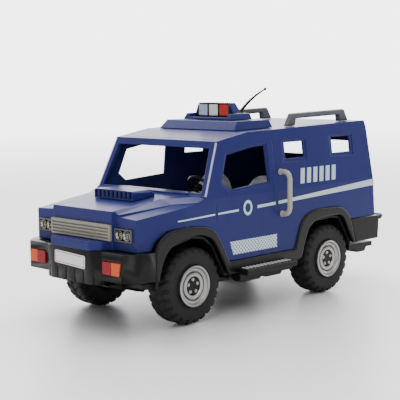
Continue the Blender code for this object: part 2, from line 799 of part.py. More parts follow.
def make_grille(finish):
    """Silver frame with level bars, set against the nose."""
    bm = bmesh.new()
    back = NOSE_Y - GAP
    front = back - 0.0022
    add_box(bm, (-GRILLE_HALF, GRILLE_HALF), (front, back), GRILLE_Z)
    grille = place("grille", bm, finish)
    bm = bmesh.new()
    rim = 0.0012
    gap_height = (GRILLE_Z[1] - GRILLE_Z[0] - 2 * rim) / GRILLE_BARS
    for i in range(GRILLE_BARS):
        low = GRILLE_Z[0] + rim + i * gap_height
        add_box(
            bm, (-GRILLE_HALF + 0.0016, GRILLE_HALF - 0.0016), (front - 0.001, back - 0.0008),
            (low + 0.0002, low + gap_height - 0.0010))
    combine(grille, guide("grille_slots", bm), "DIFFERENCE")
    return grille


def make_headlight(name, side, finish):
    """Bezel with two round reflector cups."""
    bm = bmesh.new()
    back = FENDER_Y - GAP
    front = back - 0.0020
    corner = BODY_HALF - TAPER * (TAPER_START_Y - FENDER_Y)
    inner, outer = NOSE_HALF + HEADLIGHT_INSETS[0], corner - HEADLIGHT_INSETS[1]
    add_box(bm, (side * inner, side * outer), (front, back), HEADLIGHT_Z)
    lamp = place(name, bm, finish)
    bm = bmesh.new()
    middle_z = sum(HEADLIGHT_Z) / 2
    for share in (0.25, 0.75):
        x = side * (inner + (outer - inner) * share)
        add_cylinder(bm, "Y", (x, middle_z), HEADLIGHT_R, front - 0.001, front + 0.0012, 12)
    combine(lamp, guide(name + "_cups", bm), "DIFFERENCE")
    return lamp


def make_front_bumper(finish):
    bm = bmesh.new()
    side_end = FRONT_Y + FRONT_ARCH_OUTER[0][0] - GAP
    outer = [
        (BUMPER_HALF, side_end), (BUMPER_HALF, BUMPER_SIDE_Y), (BUMPER_FLAT_HALF, BUMPER_FRONT_Y)]
    outer = mirrored(outer)
    inner = mirrored([(BUMPER_HALF - 0.0050, side_end), (BUMPER_HALF - 0.0110, BUMPER_BACK_Y)])
    add_prism(bm, "Z", outer + list(reversed(inner)), BUMPER_FOOT_Z, BELT_Z)
    bumper = place("front_bumper", bm, finish)
    bm = bmesh.new()
    bulge = [
        (BUMPER_BULGE_HALF + BUMPER_BULGE_SIDE, BUMPER_BACK_Y - BUMPER_DEPTH / 10),
        (BUMPER_BULGE_HALF + BUMPER_BULGE_SIDE, BUMPER_FRONT_Y),
        (BUMPER_BULGE_HALF, BUMPER_BULGE_Y)]
    add_prism(bm, "Z", mirrored(bulge), BUMPER_CENTRE_FOOT_Z, BELT_Z)
    combine(bumper, guide("bumper_bulge", bm), "UNION")
    bm = bmesh.new()
    for i in range(GROOVES):
        x = (i - (GROOVES - 1) / 2) * GROOVE_PITCH
        front = BUMPER_BULGE_Y if abs(x) < BUMPER_BULGE_HALF else BUMPER_FRONT_Y
        add_box(bm, (x - GROOVE_WIDTH / 2, x + GROOVE_WIDTH / 2),
                (BUMPER_BULGE_Y - OVERCUT, front + GROOVE_DEPTH),
                (BUMPER_CENTRE_FOOT_Z - OVERCUT, PLATE_Z[0] - 0.0012))
    for side in (1, -1):
        low_z, high_z = LAMP_Z
        pocket = [
            (RED_LAMP_X[0] - GAP, low_z - GAP), (ORANGE_LAMP_X[1] - LAMP_SLANT + GAP, low_z - GAP),
            (ORANGE_LAMP_X[1] + GAP, high_z + GAP), (RED_LAMP_X[0] - GAP, high_z + GAP)]
        add_prism(bm, "Y", [(side * x, z) for x, z in pocket], BUMPER_FRONT_Y - OVERCUT,
                  BUMPER_FRONT_Y + LAMP_POCKET)
    combine(bumper, guide("bumper_grooves", bm), "DIFFERENCE")
    return bumper


def make_marker_lamp(name, side, lamp_x, slant, finish):
    """Lamp block in the bumper's pocket, with its outer edge slanted."""
    bm = bmesh.new()
    inner, outer = lamp_x
    low, high = LAMP_Z
    outline = [(inner, low), (outer - slant, low), (outer, high), (inner, high)]
    back = BUMPER_FRONT_Y + LAMP_POCKET - GAP
    add_prism(bm, "Y", [(side * x, z) for x, z in outline], BUMPER_FRONT_Y - LAMP_PROUD, back)
    return place(name, bm, finish)


def make_number_plate(finish):
    """Bare plate with its corners cut, on the front of the bumper."""
    bm = bmesh.new()
    cut = 0.0012
    low, high = PLATE_Z
    outline = mirrored([
        (PLATE_HALF - cut, low), (PLATE_HALF, low + cut), (PLATE_HALF, high - cut),
        (PLATE_HALF - cut, high)])
    back = BUMPER_BULGE_Y - GAP
    add_prism(bm, "Y", outline, back - PLATE_THICK, back)
    return place("number_plate", bm, finish)


def make_skid_plate(finish):
    """Sloped guard under the front bumper."""
    bm = bmesh.new()
    top = BUMPER_CENTRE_FOOT_Z - GAP
    under_pan = PAN_FOOT_Z - GAP
    foot = BOX_FOOT_Z + 0.0015
    front, rear = SKID_Y
    profile = [
        (front, top), (front, top - 0.0012), (rear - 0.002, foot), (rear, foot),
        (rear, under_pan), (PAN_FRONT_Y - 0.0010, under_pan), (PAN_FRONT_Y - 0.0020, top)]
    add_prism(bm, "X", profile, -SKID_HALF, SKID_HALF)
    return place("skid_plate", bm, finish)


def make_cladding(name, side, finish):
    """Sill and both wheel-arch flares of one side, moulded as one piece."""
    bm = bmesh.new()
    front_in = arch(FRONT_ARCH_INNER, FRONT_Y)
    front_out = arch(FRONT_ARCH_OUTER, FRONT_Y)
    rear_in = arch(REAR_ARCH_INNER, REAR_Y)
    rear_out = arch(REAR_ARCH_OUTER, REAR_Y)
    outline = front_in + rear_in + list(reversed(rear_out)) + list(reversed(front_out))
    outline.append((front_out[0][0], front_in[0][1]))
    inner_x = BODY_HALF - WALL
    low, high = sorted((side * inner_x, side * FLARE_X))
    add_prism(bm, "X", outline, low, high)
    return rounded(place(name, bm, finish), ARCH_EDGE, angle=70)


def make_rear_bumper(finish):
    bm = bmesh.new()
    rear_out = arch(REAR_ARCH_OUTER, REAR_Y)
    foot = rear_out[-1]
    top_front = rear_out[-2]
    profile = [(top_front[0] + GAP, BELT_Z - GAP), (REAR_BUMPER_Y, BELT_Z - GAP),
               (REAR_BUMPER_Y - 0.0015, BUMPER_FOOT_Z), (foot[0] + GAP, BUMPER_FOOT_Z)]
    add_prism(bm, "X", profile, -BUMPER_HALF, BUMPER_HALF)
    bumper = place("rear_bumper", bm, finish)
    bm = bmesh.new()
    half = BODY_HALF - WALL
    add_box(bm, (-half, half), (REAR_Y, REAR_BUMPER_Y - BUMPER_WALL), (PAN_FOOT_Z, BELT_Z + GAP))
    combine(bumper, guide("rear_bumper_inside", bm), "DIFFERENCE")
    return bumper


def make_rear_step(finish):
    """Flat step bar behind the rear bumper, on two brackets."""
    bm = bmesh.new()
    cut = 0.0035
    low = STEP_TOP_Z - STEP_THICK
    front = REAR_BUMPER_Y + GAP
    outline = mirrored([
        (STEP_HALF, front), (STEP_HALF, STEP_BACK_Y - cut), (STEP_HALF - cut, STEP_BACK_Y)])
    add_prism(bm, "Z", outline, low, STEP_TOP_Z)
    step = place("rear_step", bm, finish)
    bm = bmesh.new()
    foot, head = low - STEP_BRACKET_DROP, low + OVERCUT / 2
    bracket = [(front, foot), (front, head), (front + STEP_BRACKET_REACH, head),
               (front + STEP_BRACKET_REACH / 2, foot)]
    for side in (1, -1):
        low_x, high_x = sorted(side * x for x in STEP_BRACKET_X)
        add_prism(bm, "X", bracket, low_x, high_x)
    combine(step, guide("step_brackets", bm), "UNION")
    return step


def well_guide(name, shrink, low_x, high_x, low_z):
    """Arched blocks over all four wheels."""
    bm = bmesh.new()
    for outline, wheel_y in ((FRONT_ARCH_INNER, FRONT_Y), (REAR_ARCH_INNER, REAR_Y)):
        edge = grown(outline, wheel_y, -shrink)
        edge = [(edge[0][0], low_z)] + edge + [(edge[-1][0], low_z)]
        for side in (1, -1):
            low, high = sorted((side * low_x, side * high_x))
            add_prism(bm, "X", edge, low, high)
    return guide(name, bm)


def make_chassis_pan(finish):
    """Floor with four wheel wells, bearing blocks and a stepped underframe."""
    bm = bmesh.new()
    half = BODY_HALF - WALL - GAP
    front_half = BODY_HALF - TAPER * (TAPER_START_Y - FENDER_Y) - WALL - 2 * GAP
    plan = mirrored([
        (front_half, PAN_FRONT_Y), (half, TAPER_START_Y),
        (half, REAR_BUMPER_Y - BUMPER_WALL - GAP)])
    add_prism(bm, "Z", plan, PAN_FOOT_Z, PAN_TOP_Z)
    pan = place("chassis_pan", bm, finish)
    combine(pan, well_guide("well_outside", 0, WELL_X, half, PAN_FOOT_Z + 0.0005), "UNION")
    bm = bmesh.new()
    box_top = PAN_FOOT_Z + 0.001
    spine = mirrored([
        (SPINE_HALF, SPINE_Y[0]), (SPINE_HALF, BOX_Y[0]), (BOX_HALF, BOX_Y[0]),
        (BOX_HALF, BOX_Y[1]), (SPINE_HALF, BOX_Y[1]), (SPINE_HALF, SPINE_Y[1])])
    add_prism(bm, "Z", spine, BOX_FOOT_Z, box_top)
    rail_foot = BOX_FOOT_Z + STEP_RISE
    rail = [(BOX_HALF - OVERCUT / 2, rail_foot), (BOX_HALF + STEP_WIDTHS[0], rail_foot),
            (BOX_HALF + STEP_WIDTHS[1], box_top), (BOX_HALF - OVERCUT / 2, box_top)]
    combine(pan, guide("underframe", bm), "UNION")
    bm = bmesh.new()
    for side in (1, -1):
        add_prism(bm, "Y", [(side * x, z) for x, z in rail], BOX_Y[0] + 0.004, BOX_Y[1] - 0.003)
    combine(pan, guide("underframe_rails", bm), "UNION")
    bm = bmesh.new()
    rear = REAR_BUMPER_Y - BUMPER_WALL - 0.0005
    valance = [
        (rear - VALANCE_LENGTH, box_top + 0.002), (rear - VALANCE_LENGTH + 0.008, VALANCE_FOOT_Z),
        (rear - 0.0055, VALANCE_FOOT_Z), (rear, box_top + 0.002)]
    add_prism(bm, "X", valance, -VALANCE_HALF, VALANCE_HALF)
    add_box(bm, (-SUMP_HALF, SUMP_HALF), SUMP_Y, (BOX_FOOT_Z - SUMP_DROP, BOX_FOOT_Z + 0.001))
    combine(pan, guide("rear_valance", bm), "UNION")
    bm = bmesh.new()
    for wheel_y in (FRONT_Y, REAR_Y):
        for side in (1, -1):
            x = side * BEARING_X
            add_box(bm, (x - BEARING_HALF, x + BEARING_HALF),
                    (wheel_y - BEARING_LENGTH, wheel_y + BEARING_LENGTH),
                    (RETAINER_Z + RETAINER_THICK, box_top))
    combine(pan, guide("bearing_blocks", bm), "UNION")
    bm = bmesh.new()
    bay_half = BEARING_X + BEARING_HALF + GAP
    for wheel_y in (FRONT_Y, REAR_Y):
        add_box(bm, (-bay_half, bay_half),
                (wheel_y - BEARING_LENGTH - GAP, wheel_y + BEARING_LENGTH + GAP),
                (REACH_LOW_Z, RETAINER_Z + RETAINER_THICK + GAP))
    combine(pan, guide("retainer_bays", bm), "DIFFERENCE")
    inside = well_guide("well_inside", WELL_WALL, WELL_X + WELL_WALL, REACH_X, REACH_LOW_Z)
    combine(pan, inside, "DIFFERENCE")
    bm = bmesh.new()
    for wheel_y in (FRONT_Y, REAR_Y):
        slot = [(wheel_y - BEARING_R, REACH_LOW_Z), (wheel_y - BEARING_R, WHEEL_R)]
        for i in range(1, 8):
            turn = math.pi * (1 - i / 8)
            slot.append((wheel_y + BEARING_R * math.cos(turn),
                         WHEEL_R + BEARING_R * math.sin(turn)))
        slot += [(wheel_y + BEARING_R, WHEEL_R), (wheel_y + BEARING_R, REACH_LOW_Z)]
        add_prism(bm, "X", slot, -WHEEL_X, WHEEL_X)
    combine(pan, guide("axle_slots", bm), "DIFFERENCE")
    return pan


def make_axle_retainer(name, wheel_y, finish):
    """Plate that closes both bearing slots from below."""
    bm = bmesh.new()
    half = BEARING_X + BEARING_HALF
    add_box(bm, (-half, half), (wheel_y - BEARING_LENGTH, wheel_y + BEARING_LENGTH),
            (RETAINER_Z, RETAINER_Z + RETAINER_THICK))
    retainer = place(name, bm, finish)
    bm = bmesh.new()
    inner = BEARING_X - BEARING_HALF
    add_box(bm, (-inner, inner), (wheel_y - 0.009, wheel_y + 0.009),
            (RETAINER_Z + RETAINER_THICK / 2, RETAINER_Z + RETAINER_THICK + 0.001))
    combine(retainer, guide(name + "_relief", bm), "DIFFERENCE")
    return retainer


def make_running_board(name, side, finish):
    """Side step with a chamfered outer edge."""
    bm = bmesh.new()
    low_x, high_x = BOARD_X
    section = [(low_x, BOARD_FOOT_Z), (high_x - 0.001, BOARD_FOOT_Z), (high_x, BOARD_FOOT_Z + 0.001),
               (high_x, BOARD_TOP_Z - 0.0008), (high_x - 0.0008, BOARD_TOP_Z),
               (low_x, BOARD_TOP_Z)]
    add_prism(bm, "Y", [(side * x, z) for x, z in section], *BOARD_Y)
    board = place(name, bm, finish)
    bm = bmesh.new()
    middle = (low_x + high_x) / 2
    for i in range(TREAD_GROOVES):
        x = side * (middle + (i - (TREAD_GROOVES - 1) / 2) * TREAD_PITCH)
        add_box(bm, (x - TREAD_WIDTH / 2, x + TREAD_WIDTH / 2),
                (BOARD_Y[0] + 0.002, BOARD_Y[1] - 0.002),
                (BOARD_TOP_Z - TREAD_DEPTH, BOARD_TOP_Z + OVERCUT))
    combine(board, guide(name + "_tread", bm), "DIFFERENCE")
    return board


def make_grab_handle(name, side, finish):
    """Bent tube handle standing off the body behind the door."""
    bm = bmesh.new()
    low, high = HANDLE_Z
    bar_x = side_x(low) + HANDLE_STAND
    route = []
    for z, sign in ((low, -1), (high, 1)):
        leg = [Vector((side_x(z) + GAP, HANDLE_Y, z))]
        for i in range(4):
            turn = math.pi / 2 * i / 3
            leg.append(Vector((
                bar_x - HANDLE_BEND * (1 - math.sin(turn)), HANDLE_Y,
                z - sign * HANDLE_BEND * (1 - math.cos(turn)))))
        route += leg if sign < 0 else list(reversed(leg))
    route = [Vector((side * p.x, p.y, p.z)) for p in route]
    add_bar(bm, route, HANDLE_R)
    return place(name, bm, finish, smooth=True)


def make_roof_panel(paint):
    bm = bmesh.new()
    outline = []
    for y in (PANEL_FRONT_Y, ROOF_KINK[0], PANEL_REAR_Y):
        outline.append((y, roof_z(y)))
    outline += [(y, z - PANEL_THICK) for y, z in reversed(outline)]
    add_prism(bm, "X", outline, -PANEL_HALF, PANEL_HALF)
    return place("roof_panel", bm, paint)


def make_roof_platform(paint):
    """Raised deck on the roof with a sloped front."""
    bm = bmesh.new()
    sections = []
    low_front, low_rear = PLATFORM_FRONT_Y, PLATFORM_REAR_Y
    top_half = PLATFORM_HALF - PLATFORM_EDGE
    top_rear = low_rear - PLATFORM_REAR_SLOPE
    high = platform_top()
    sections.append([
        Vector((-PLATFORM_HALF, low_front, roof_z(low_front) + GAP)),
        Vector((PLATFORM_HALF, low_front, roof_z(low_front) + GAP)),
        Vector((PLATFORM_HALF, low_rear, roof_z(low_rear) + GAP)),
        Vector((-PLATFORM_HALF, low_rear, roof_z(low_rear) + GAP))])
    sections.append([
        Vector((-top_half, PLATFORM_TOP_Y, high)), Vector((top_half, PLATFORM_TOP_Y, high)),
        Vector((top_half, top_rear, high)), Vector((-top_half, top_rear, high))])
    add_loft(bm, sections)
    return place("roof_platform", bm, paint)


def tapered_block(bm, low, high):
    """A block between two level rectangles of (half width, front, rear, height)."""
    rings = []
    for half, front, rear, z in (low, high):
        rings.append([Vector((-half, front, z)), Vector((half, front, z)),
                      Vector((half, rear, z)), Vector((-half, rear, z))])
    add_loft(bm, rings)


def make_light_base(paint):
    """Base of the light bar, with a notch in its front for the lens frame."""
    bm = bmesh.new()
    tapered_block(
        bm, (BASE_HALF, BASE_FRONT_Y, BASE_REAR_Y, platform_top() + GAP),
        (BASE_HALF - 0.0024, BASE_FRONT_Y + 0.0020, BASE_REAR_Y - 0.0006, base_top()))
    base = place("light_bar_base", bm, paint)
    bm = bmesh.new()
    half = LIGHT_HALF + GAP
    add_box(bm, (-half, half), (BASE_FRONT_Y - OVERCUT, LIGHT_FRONT_Y + FRAME_THICK + GAP),
            (notch_top(), base_top() + OVERCUT))
    combine(base, guide("base_notch", bm), "DIFFERENCE")
    return base


def make_light_housing(paint):
    """Tapered box that stands on the base, behind the lens frame."""
    bm = bmesh.new()
    front = LIGHT_FRONT_Y + FRAME_THICK + GAP
    tapered_block(
        bm, (LIGHT_HALF, front, LIGHT_REAR_Y, base_top() + GAP),
        (LIGHT_TOP_HALF, front, LIGHT_REAR_Y - 0.0024, light_top()))
    return place("light_bar_housing", bm, paint)


def lens_span(index):
    """Left and right edges of one of the three lenses."""
    pitch = (2 * LENS_HALF + LENS_SPACE) / 3
    low = -LENS_HALF + index * pitch
    return low, low + pitch - LENS_SPACE


def lens_height():
    return [notch_top() + GAP + rise for rise in LENS_RISE]


def make_lens_frame(finish):
    """Dark surround in front of the housing, with a pocket for each lens."""
    bm = bmesh.new()
    outline = mirrored([(FRAME_HALF, notch_top() + GAP), (LIGHT_TOP_HALF, light_top())])
    add_prism(bm, "Y", outline, LIGHT_FRONT_Y, LIGHT_FRONT_Y + FRAME_THICK)
    frame = place("lens_frame", bm, finish)
    bm = bmesh.new()
    low_z, high_z = lens_height()
    back = LIGHT_FRONT_Y + LENS_SUNK + LENS_THICK + GAP
    for i in range(3):
        low, high = lens_span(i)
        add_box(bm, (low - GAP, high + GAP), (LIGHT_FRONT_Y - OVERCUT, back),
                (low_z - GAP, high_z + GAP))
    combine(frame, guide("lens_pockets", bm), "DIFFERENCE")
    return frame


def make_lens(name, index, finish):
    bm = bmesh.new()
    front = LIGHT_FRONT_Y + LENS_SUNK
    add_box(bm, lens_span(index), (front, front + LENS_THICK), lens_height())
    return place(name, bm, finish)


def make_roof_rail(name, side, finish):
    """Roof rail with two sloped feet and a gap for a hand or a strap."""
    bm = bmesh.new()
    inner_front = RAIL_FRONT_Y + RAIL_FOOT_LENGTHS[0]
    inner_rear = RAIL_REAR_Y - RAIL_FOOT_LENGTHS[1]
    top_front, top_rear = RAIL_FRONT_Y + 0.0065, RAIL_REAR_Y - 0.0065
    under_front, under_rear = inner_front + 0.0018, inner_rear - 0.0012
    under = RAIL_RISE - RAIL_THICK
    route = [
        (RAIL_FRONT_Y, GAP), (top_front, RAIL_RISE), (top_rear, RAIL_RISE), (RAIL_REAR_Y, GAP),
        (inner_rear, GAP), (under_rear, under), (under_front, under), (inner_front, GAP)]
    outline = [(y, roof_z(y) + rise) for y, rise in route]
    low, high = sorted((side * (RAIL_X - RAIL_HALF), side * (RAIL_X + RAIL_HALF)))
    add_prism(bm, "X", outline, low, high)
    return rounded(place(name, bm, finish), RAIL_EDGE)


def make_antenna(finish):
    """Whip antenna that sweeps back from a round foot to a ball tip."""
    bm = bmesh.new()
    x, y = ANTENNA_X, ANTENNA_FOOT_Y
    foot_z = base_top() + GAP
    tip_y, tip_z = ANTENNA_TIP
    route = [Vector((x, y, foot_z)), Vector((x, y, foot_z + 0.0012)),
             Vector((x, y, foot_z + 0.0013))]
    radii = [ANTENNA_FOOT_R, ANTENNA_FOOT_R, ANTENNA_R]
    start = route[-1]
    control = Vector((x, y + (tip_y - y) * 0.38, foot_z + (tip_z - foot_z) * 0.60))
    end = Vector((x, tip_y, tip_z))
    for i in range(1, 9):
        share = i / 8
        point = start.lerp(control, share).lerp(control.lerp(end, share), share)
        route.append(point)
        radii.append(ANTENNA_R * (1 - 0.25 * share))
    along = (end - control).normalized()
    for forward, radius in ((0.0003, 1.0), (0.0014, 1.45), (0.0026, 1.0), (0.0031, 0.5)):
        route.append(end + along * forward)
        radii.append(ANTENNA_BALL_R * radius / 1.45)
    rings = []
    for i, point in enumerate(route):
        flat = i < 2
        before, after = route[max(i - 1, 0)], route[min(i + 1, len(route) - 1)]
        along = Vector((0, 0, 1)) if flat or i == 2 else (after - before)
        turn = along.to_track_quat("Z", "X")
        ring = []
        for k in range(8):
            angle = 2 * math.pi * k / 8
            offset = Vector((math.cos(angle), math.sin(angle), 0)) * radii[i]
            ring.append(bm.verts.new(point + turn @ offset))
        rings.append(ring)
    add_skin(bm, rings)
    return place("antenna", bm, finish, smooth=True)


def make_tailgate(paint, hinge):
    """Leaning rear door hung from a barrel between the side walls."""
    bm = bmesh.new()
    bend_z = HINGE_Z - GATE_BEND
    plate = [
        (rear_y(GATE_FOOT_Z) - GATE_THICK, GATE_FOOT_Z), (rear_y(GATE_FOOT_Z), GATE_FOOT_Z),
        (rear_y(bend_z), bend_z), (HINGE_Y + BARREL_R * 0.7, HINGE_Z),
        (HINGE_Y - BARREL_R * 0.2, HINGE_Z), (rear_y(bend_z) - GATE_THICK, bend_z)]
    add_prism(bm, "X", plate, -REACH_X, REACH_X)
    gate = place("tailgate", bm, paint)
    bm = bmesh.new()
    add_cylinder(bm, "X", (HINGE_Y, HINGE_Z), BARREL_R, -REACH_X + OVERCUT, REACH_X - OVERCUT)
    combine(gate, guide("hinge_barrel", bm), "UNION")
    bm = bmesh.new()
    low_z, high_z = PULL_Z
    face = rear_y(low_z)
    pull = [(face - 0.001, low_z - 0.001), (face + PULL_PROUD, low_z), (face + PULL_PROUD, high_z),
            (rear_y(high_z) - 0.001, high_z + 0.0015)]
    add_prism(bm, "X", pull, -PULL_HALF, PULL_HALF)
    combine(gate, guide("pull_rib", bm), "UNION")
    bm = bmesh.new()
    add_prism(bm, "Y", section_outline(WALL + RUN, REACH_LOW_Z, ROOF_REAR[1]), SCREEN_FOOT[0],
              REACH_Y)
    combine(gate, guide("gate_sides", bm), "INTERSECT")
    bm = bmesh.new()
    for side in (1, -1):
        low, high = sorted(side * x for x in GATE_WINDOW_X)
        add_box(bm, (low, high), (SCREEN_FOOT[0], REACH_Y), GATE_WINDOW_Z)
    combine(gate, guide("gate_windows", bm), "DIFFERENCE")
    bm = bmesh.new()
    add_cylinder(bm, "X", (HINGE_Y, HINGE_Z), PIN_BORE_R, -REACH_X, REACH_X, 12)
    combine(gate, guide("gate_bore", bm), "DIFFERENCE")
    gate.parent = hinge
    gate.matrix_parent_inverse = hinge.matrix_world.inverted()
    return gate


def make_hinge_pin(finish):
    bm = bmesh.new()
    half = side_x(ROOF_REAR[1]) - WALL + PIN_DEPTH
    add_cylinder(bm, "X", (HINGE_Y, HINGE_Z), PIN_R, -half, half, 12)
    return place("tailgate_hinge_pin", bm, finish, smooth=True)


def tyre_mesh():
    """Block-tread tyre about its own centre, with one lug flat at the bottom."""
    bm = bmesh.new()
    pitch = 2 * math.pi / LUGS
    edge = TYRE_HALF - 0.0018
    shoulder = TYRE_HALF
    side_rings = {}
    for side in (1, -1):
        profile = [(edge, BEAD_R), (edge, BEAD_R + 0.0022), (shoulder - 0.0004, BEAD_R + 0.0024),
                   (shoulder, WHEEL_R - 0.0095), (shoulder, WHEEL_R - 0.0050)]
        rings = []
        for x, radius in profile:
            ring = []
            for i in range(LUGS):
                turn = -math.pi / 2 + pitch * i - pitch * 0.36
                ring.append(bm.verts.new((
                    side * x, radius * math.cos(turn), radius * math.sin(turn))))
            rings.append(ring)
        for near, far in zip(rings, rings[1:]):
            for i in range(LUGS):
                j = (i + 1) % LUGS
                bm.faces.new((near[i], near[j], far[j], far[i]))
        side_rings[side] = rings
    for i in range(LUGS):
        j = (i + 1) % LUGS
        left, right = side_rings[1][0], side_rings[-1][0]
        bm.faces.new((left[i], left[j], right[j], right[i]))
    top_half = pitch * 0.25
    stations = []
    for i in range(LUGS):
        centre = -math.pi / 2 + pitch * i
        for offset, radius in (
                (-pitch * 0.36, WHEEL_R - LUG_DEPTH), (-top_half, WHEEL_R / math.cos(top_half)),
                (top_half, WHEEL_R / math.cos(top_half)), (pitch * 0.36, WHEEL_R - LUG_DEPTH)):
            turn = centre + offset
            pair = []
            for side in (1, -1):
                pair.append(bm.verts.new((
                    side * edge, radius * math.cos(turn), radius * math.sin(turn))))
            stations.append(pair)
    count = len(stations)
    for i in range(count):
        j = (i + 1) % count
        bm.faces.new((stations[i][0], stations[j][0], stations[j][1], stations[i][1]))
    for index, side in ((0, 1), (1, -1)):
        outer = side_rings[side][-1]
        for i in range(LUGS):
            j = (i + 1) % LUGS
            run = [stations[(4 * i + k) % count][index] for k in range(5)]
            for a, b in zip(run[:3], run[1:4]):
                bm.faces.new((outer[i], a, b))
            bm.faces.new((outer[i], run[3], run[4], outer[j]))
    bmesh.ops.recalc_face_normals(bm, faces=bm.faces)
    mesh = bpy.data.meshes.new("tyre")
    bm.to_mesh(mesh)
    bm.free()
    return mesh


def make_rim(name, finish):
    """Turned wheel rim about its own centre, with five nuts round a sunk hub."""
    bm = bmesh.new()
    face = RIM_FACE
    seat_end = TYRE_HALF - 0.0018 + GAP
    bore = AXLE_R + GAP
    hub_floor = face - HUB_DEPTH
    back = hub_floor - 0.0024
    inner_half = RIM_SEAT_R - 0.0020
    profile = [
        (-0.0085, inner_half), (-0.0085, RIM_SEAT_R), (seat_end, RIM_SEAT_R),
        (seat_end, RIM_FLANGE_R), (face, RIM_FLANGE_R), (face, RIM_SEAT_R),
        (face - 0.0013, RIM_SEAT_R - 0.0007), (face - 0.0005, RIM_SEAT_R - 0.0014),
        (face - 0.0005, 0.0096), (face, 0.0090), (face, HUB_R), (hub_floor, HUB_R),
        (hub_floor, bore), (back, bore), (back, HUB_R + 0.0021),
        (face - 0.0025, HUB_R + 0.0021), (face - 0.0025, inner_half)]
    add_turned(bm, profile, (0, 0), RING_STEPS)
    rim = place(name, bm, finish)
    bm = bmesh.new()
    for i in range(NUTS):
        turn = 2 * math.pi * (i + 0.25) / NUTS
        centre = (NUT_PITCH_R * math.cos(turn), NUT_PITCH_R * math.sin(turn))
        add_cylinder(bm, "X", centre, NUT_R, hub_floor - 0.0008, hub_floor + NUT_HEIGHT, 6)
    nuts = guide(name + "_nuts", bm)
    nuts.parent = rim
    combine(rim, nuts, "UNION")
    return rim


def make_axle_set(end, wheel_y, finishes):
    """One axle with its rod, two rims and two tyres, turning together."""
    centre = axis_line(end + "_axle_line", (0, wheel_y, WHEEL_R))
    bm = bmesh.new()
    half = WHEEL_X + RIM_FACE - 0.0045
    add_cylinder(bm, "X", (0, 0), AXLE_R, -half, half)
    pieces = [place(end + "_axle_rod", bm, finishes["steel"], smooth=True)]
    mesh = tyre_mesh()
    mesh.materials.append(finishes["rubber"])
    mesh.shade_smooth()
    mesh.set_sharp_from_angle(angle=math.radians(30))
    for side, word in ((1, "left"), (-1, "right")):
        tyre = bpy.data.objects.new(end + "_tyre_" + word, mesh)
        bpy.context.scene.collection.objects.link(tyre)
        for obj in (make_rim(end + "_rim_" + word, finishes["rim"]), tyre):
            obj.location = (side * WHEEL_X, 0, 0)
            if side < 0:
                obj.rotation_euler = (0, 0, math.pi)
            pieces.append(obj)
    for piece in pieces:
        piece.parent = centre


def make_steering_wheel(finish, line):
    """Ring with two spokes and a hub, on a leaning column."""
    bm = bmesh.new()
    steps, sides = 20, 6
    rings = []
    for i in range(steps):
        turn = 2 * math.pi * i / steps
        ring = []
        for k in range(sides):
            angle = 2 * math.pi * k / sides
            radius = STEER_R + STEER_TUBE_R * math.cos(angle)
            ring.append(bm.verts.new((
                radius * math.cos(turn), radius * math.sin(turn),
                STEER_TUBE_R * math.sin(angle))))
        rings.append(ring)
    for i in range(steps):
        near, far = rings[i], rings[(i + 1) % steps]
        for k in range(sides):
            m = (k + 1) % sides
            bm.faces.new((near[k], near[m], far[m], far[k]))
    wheel = place("steering_wheel", bm, finish, smooth=True)
    bm = bmesh.new()
    add_box(bm, (-STEER_R, STEER_R), (-0.0014, 0.0014), (-0.0008, 0.0006))
    spokes = guide("wheel_spokes", bm)
    bm = bmesh.new()
    add_cylinder(bm, "Z", (0, 0), 0.0030, -0.0022, 0.0010, 12)
    hub = guide("wheel_hub", bm)
    bm = bmesh.new()
    add_cylinder(bm, "Z", (0, 0), COLUMN_R, -COLUMN_LENGTH, 0.0, 12)
    column = guide("wheel_column", bm)
    for piece in (wheel, spokes, hub, column):
        piece.parent = line
    for piece in (spokes, hub, column):
        combine(wheel, piece, "UNION")
    return wheel


def make_dashboard(finish, line):
    """Dash panel under the windscreen, with a socket for the column."""
    bm = bmesh.new()
    low, high = DASH_Z
    front, rear = DASH_Y
    profile = [(front, low), (front, high), (rear - 0.004, high), (rear, high - 0.004),
               (rear, low + 0.006), (rear - 0.006, low)]
    half = side_x(high) - WALL - GAP
    add_prism(bm, "X", profile, -half, half)
    dash = place("dashboard", bm, finish)
    bm = bmesh.new()
    add_cylinder(bm, "Z", (0, 0), COLUMN_R + GAP, -COLUMN_LENGTH - GAP, 0.0, 12)
    socket = guide("column_socket", bm)
    socket.parent = line
    combine(dash, socket, "DIFFERENCE")
    return dash


def make_seat(name, side, finish):
    """Bucket seat on a plinth, with a reclined rounded back."""
    bm = bmesh.new()
    low, high = sorted(side * x for x in SEAT_X)
    front, rear = SEAT_Y
    base, top = SEAT_BASE_Z
    profile = [
        (front, PAN_TOP_Z + GAP), (front, top - 0.004), (front + 0.004, top),
        (rear - SEAT_BACK_THICK - 0.010, top - 0.003), (rear - SEAT_BACK_THICK, SEAT_BACK_Z - 0.006),
        (rear - SEAT_BACK_THICK * 0.5, SEAT_BACK_Z), (rear - 0.003, SEAT_BACK_Z - 0.004),
        (rear, base), (rear - 0.006, PAN_TOP_Z + GAP)]
    add_prism(bm, "X", profile, low, high)
    return rounded(place(name, bm, finish), SEAT_EDGE, angle=60)


def make_retainer_screw(name, side, wheel_y, finish):
    """Screw head under the retainer plate of one bearing block."""
    bm = bmesh.new()
    add_cylinder(bm, "Z", (side * BEARING_X, wheel_y + SCREW_OFFSET), SCREW_HEAD_R,
                 RETAINER_Z - GAP - SCREW_HEAD, RETAINER_Z - GAP, 12)
    return place(name, bm, finish)


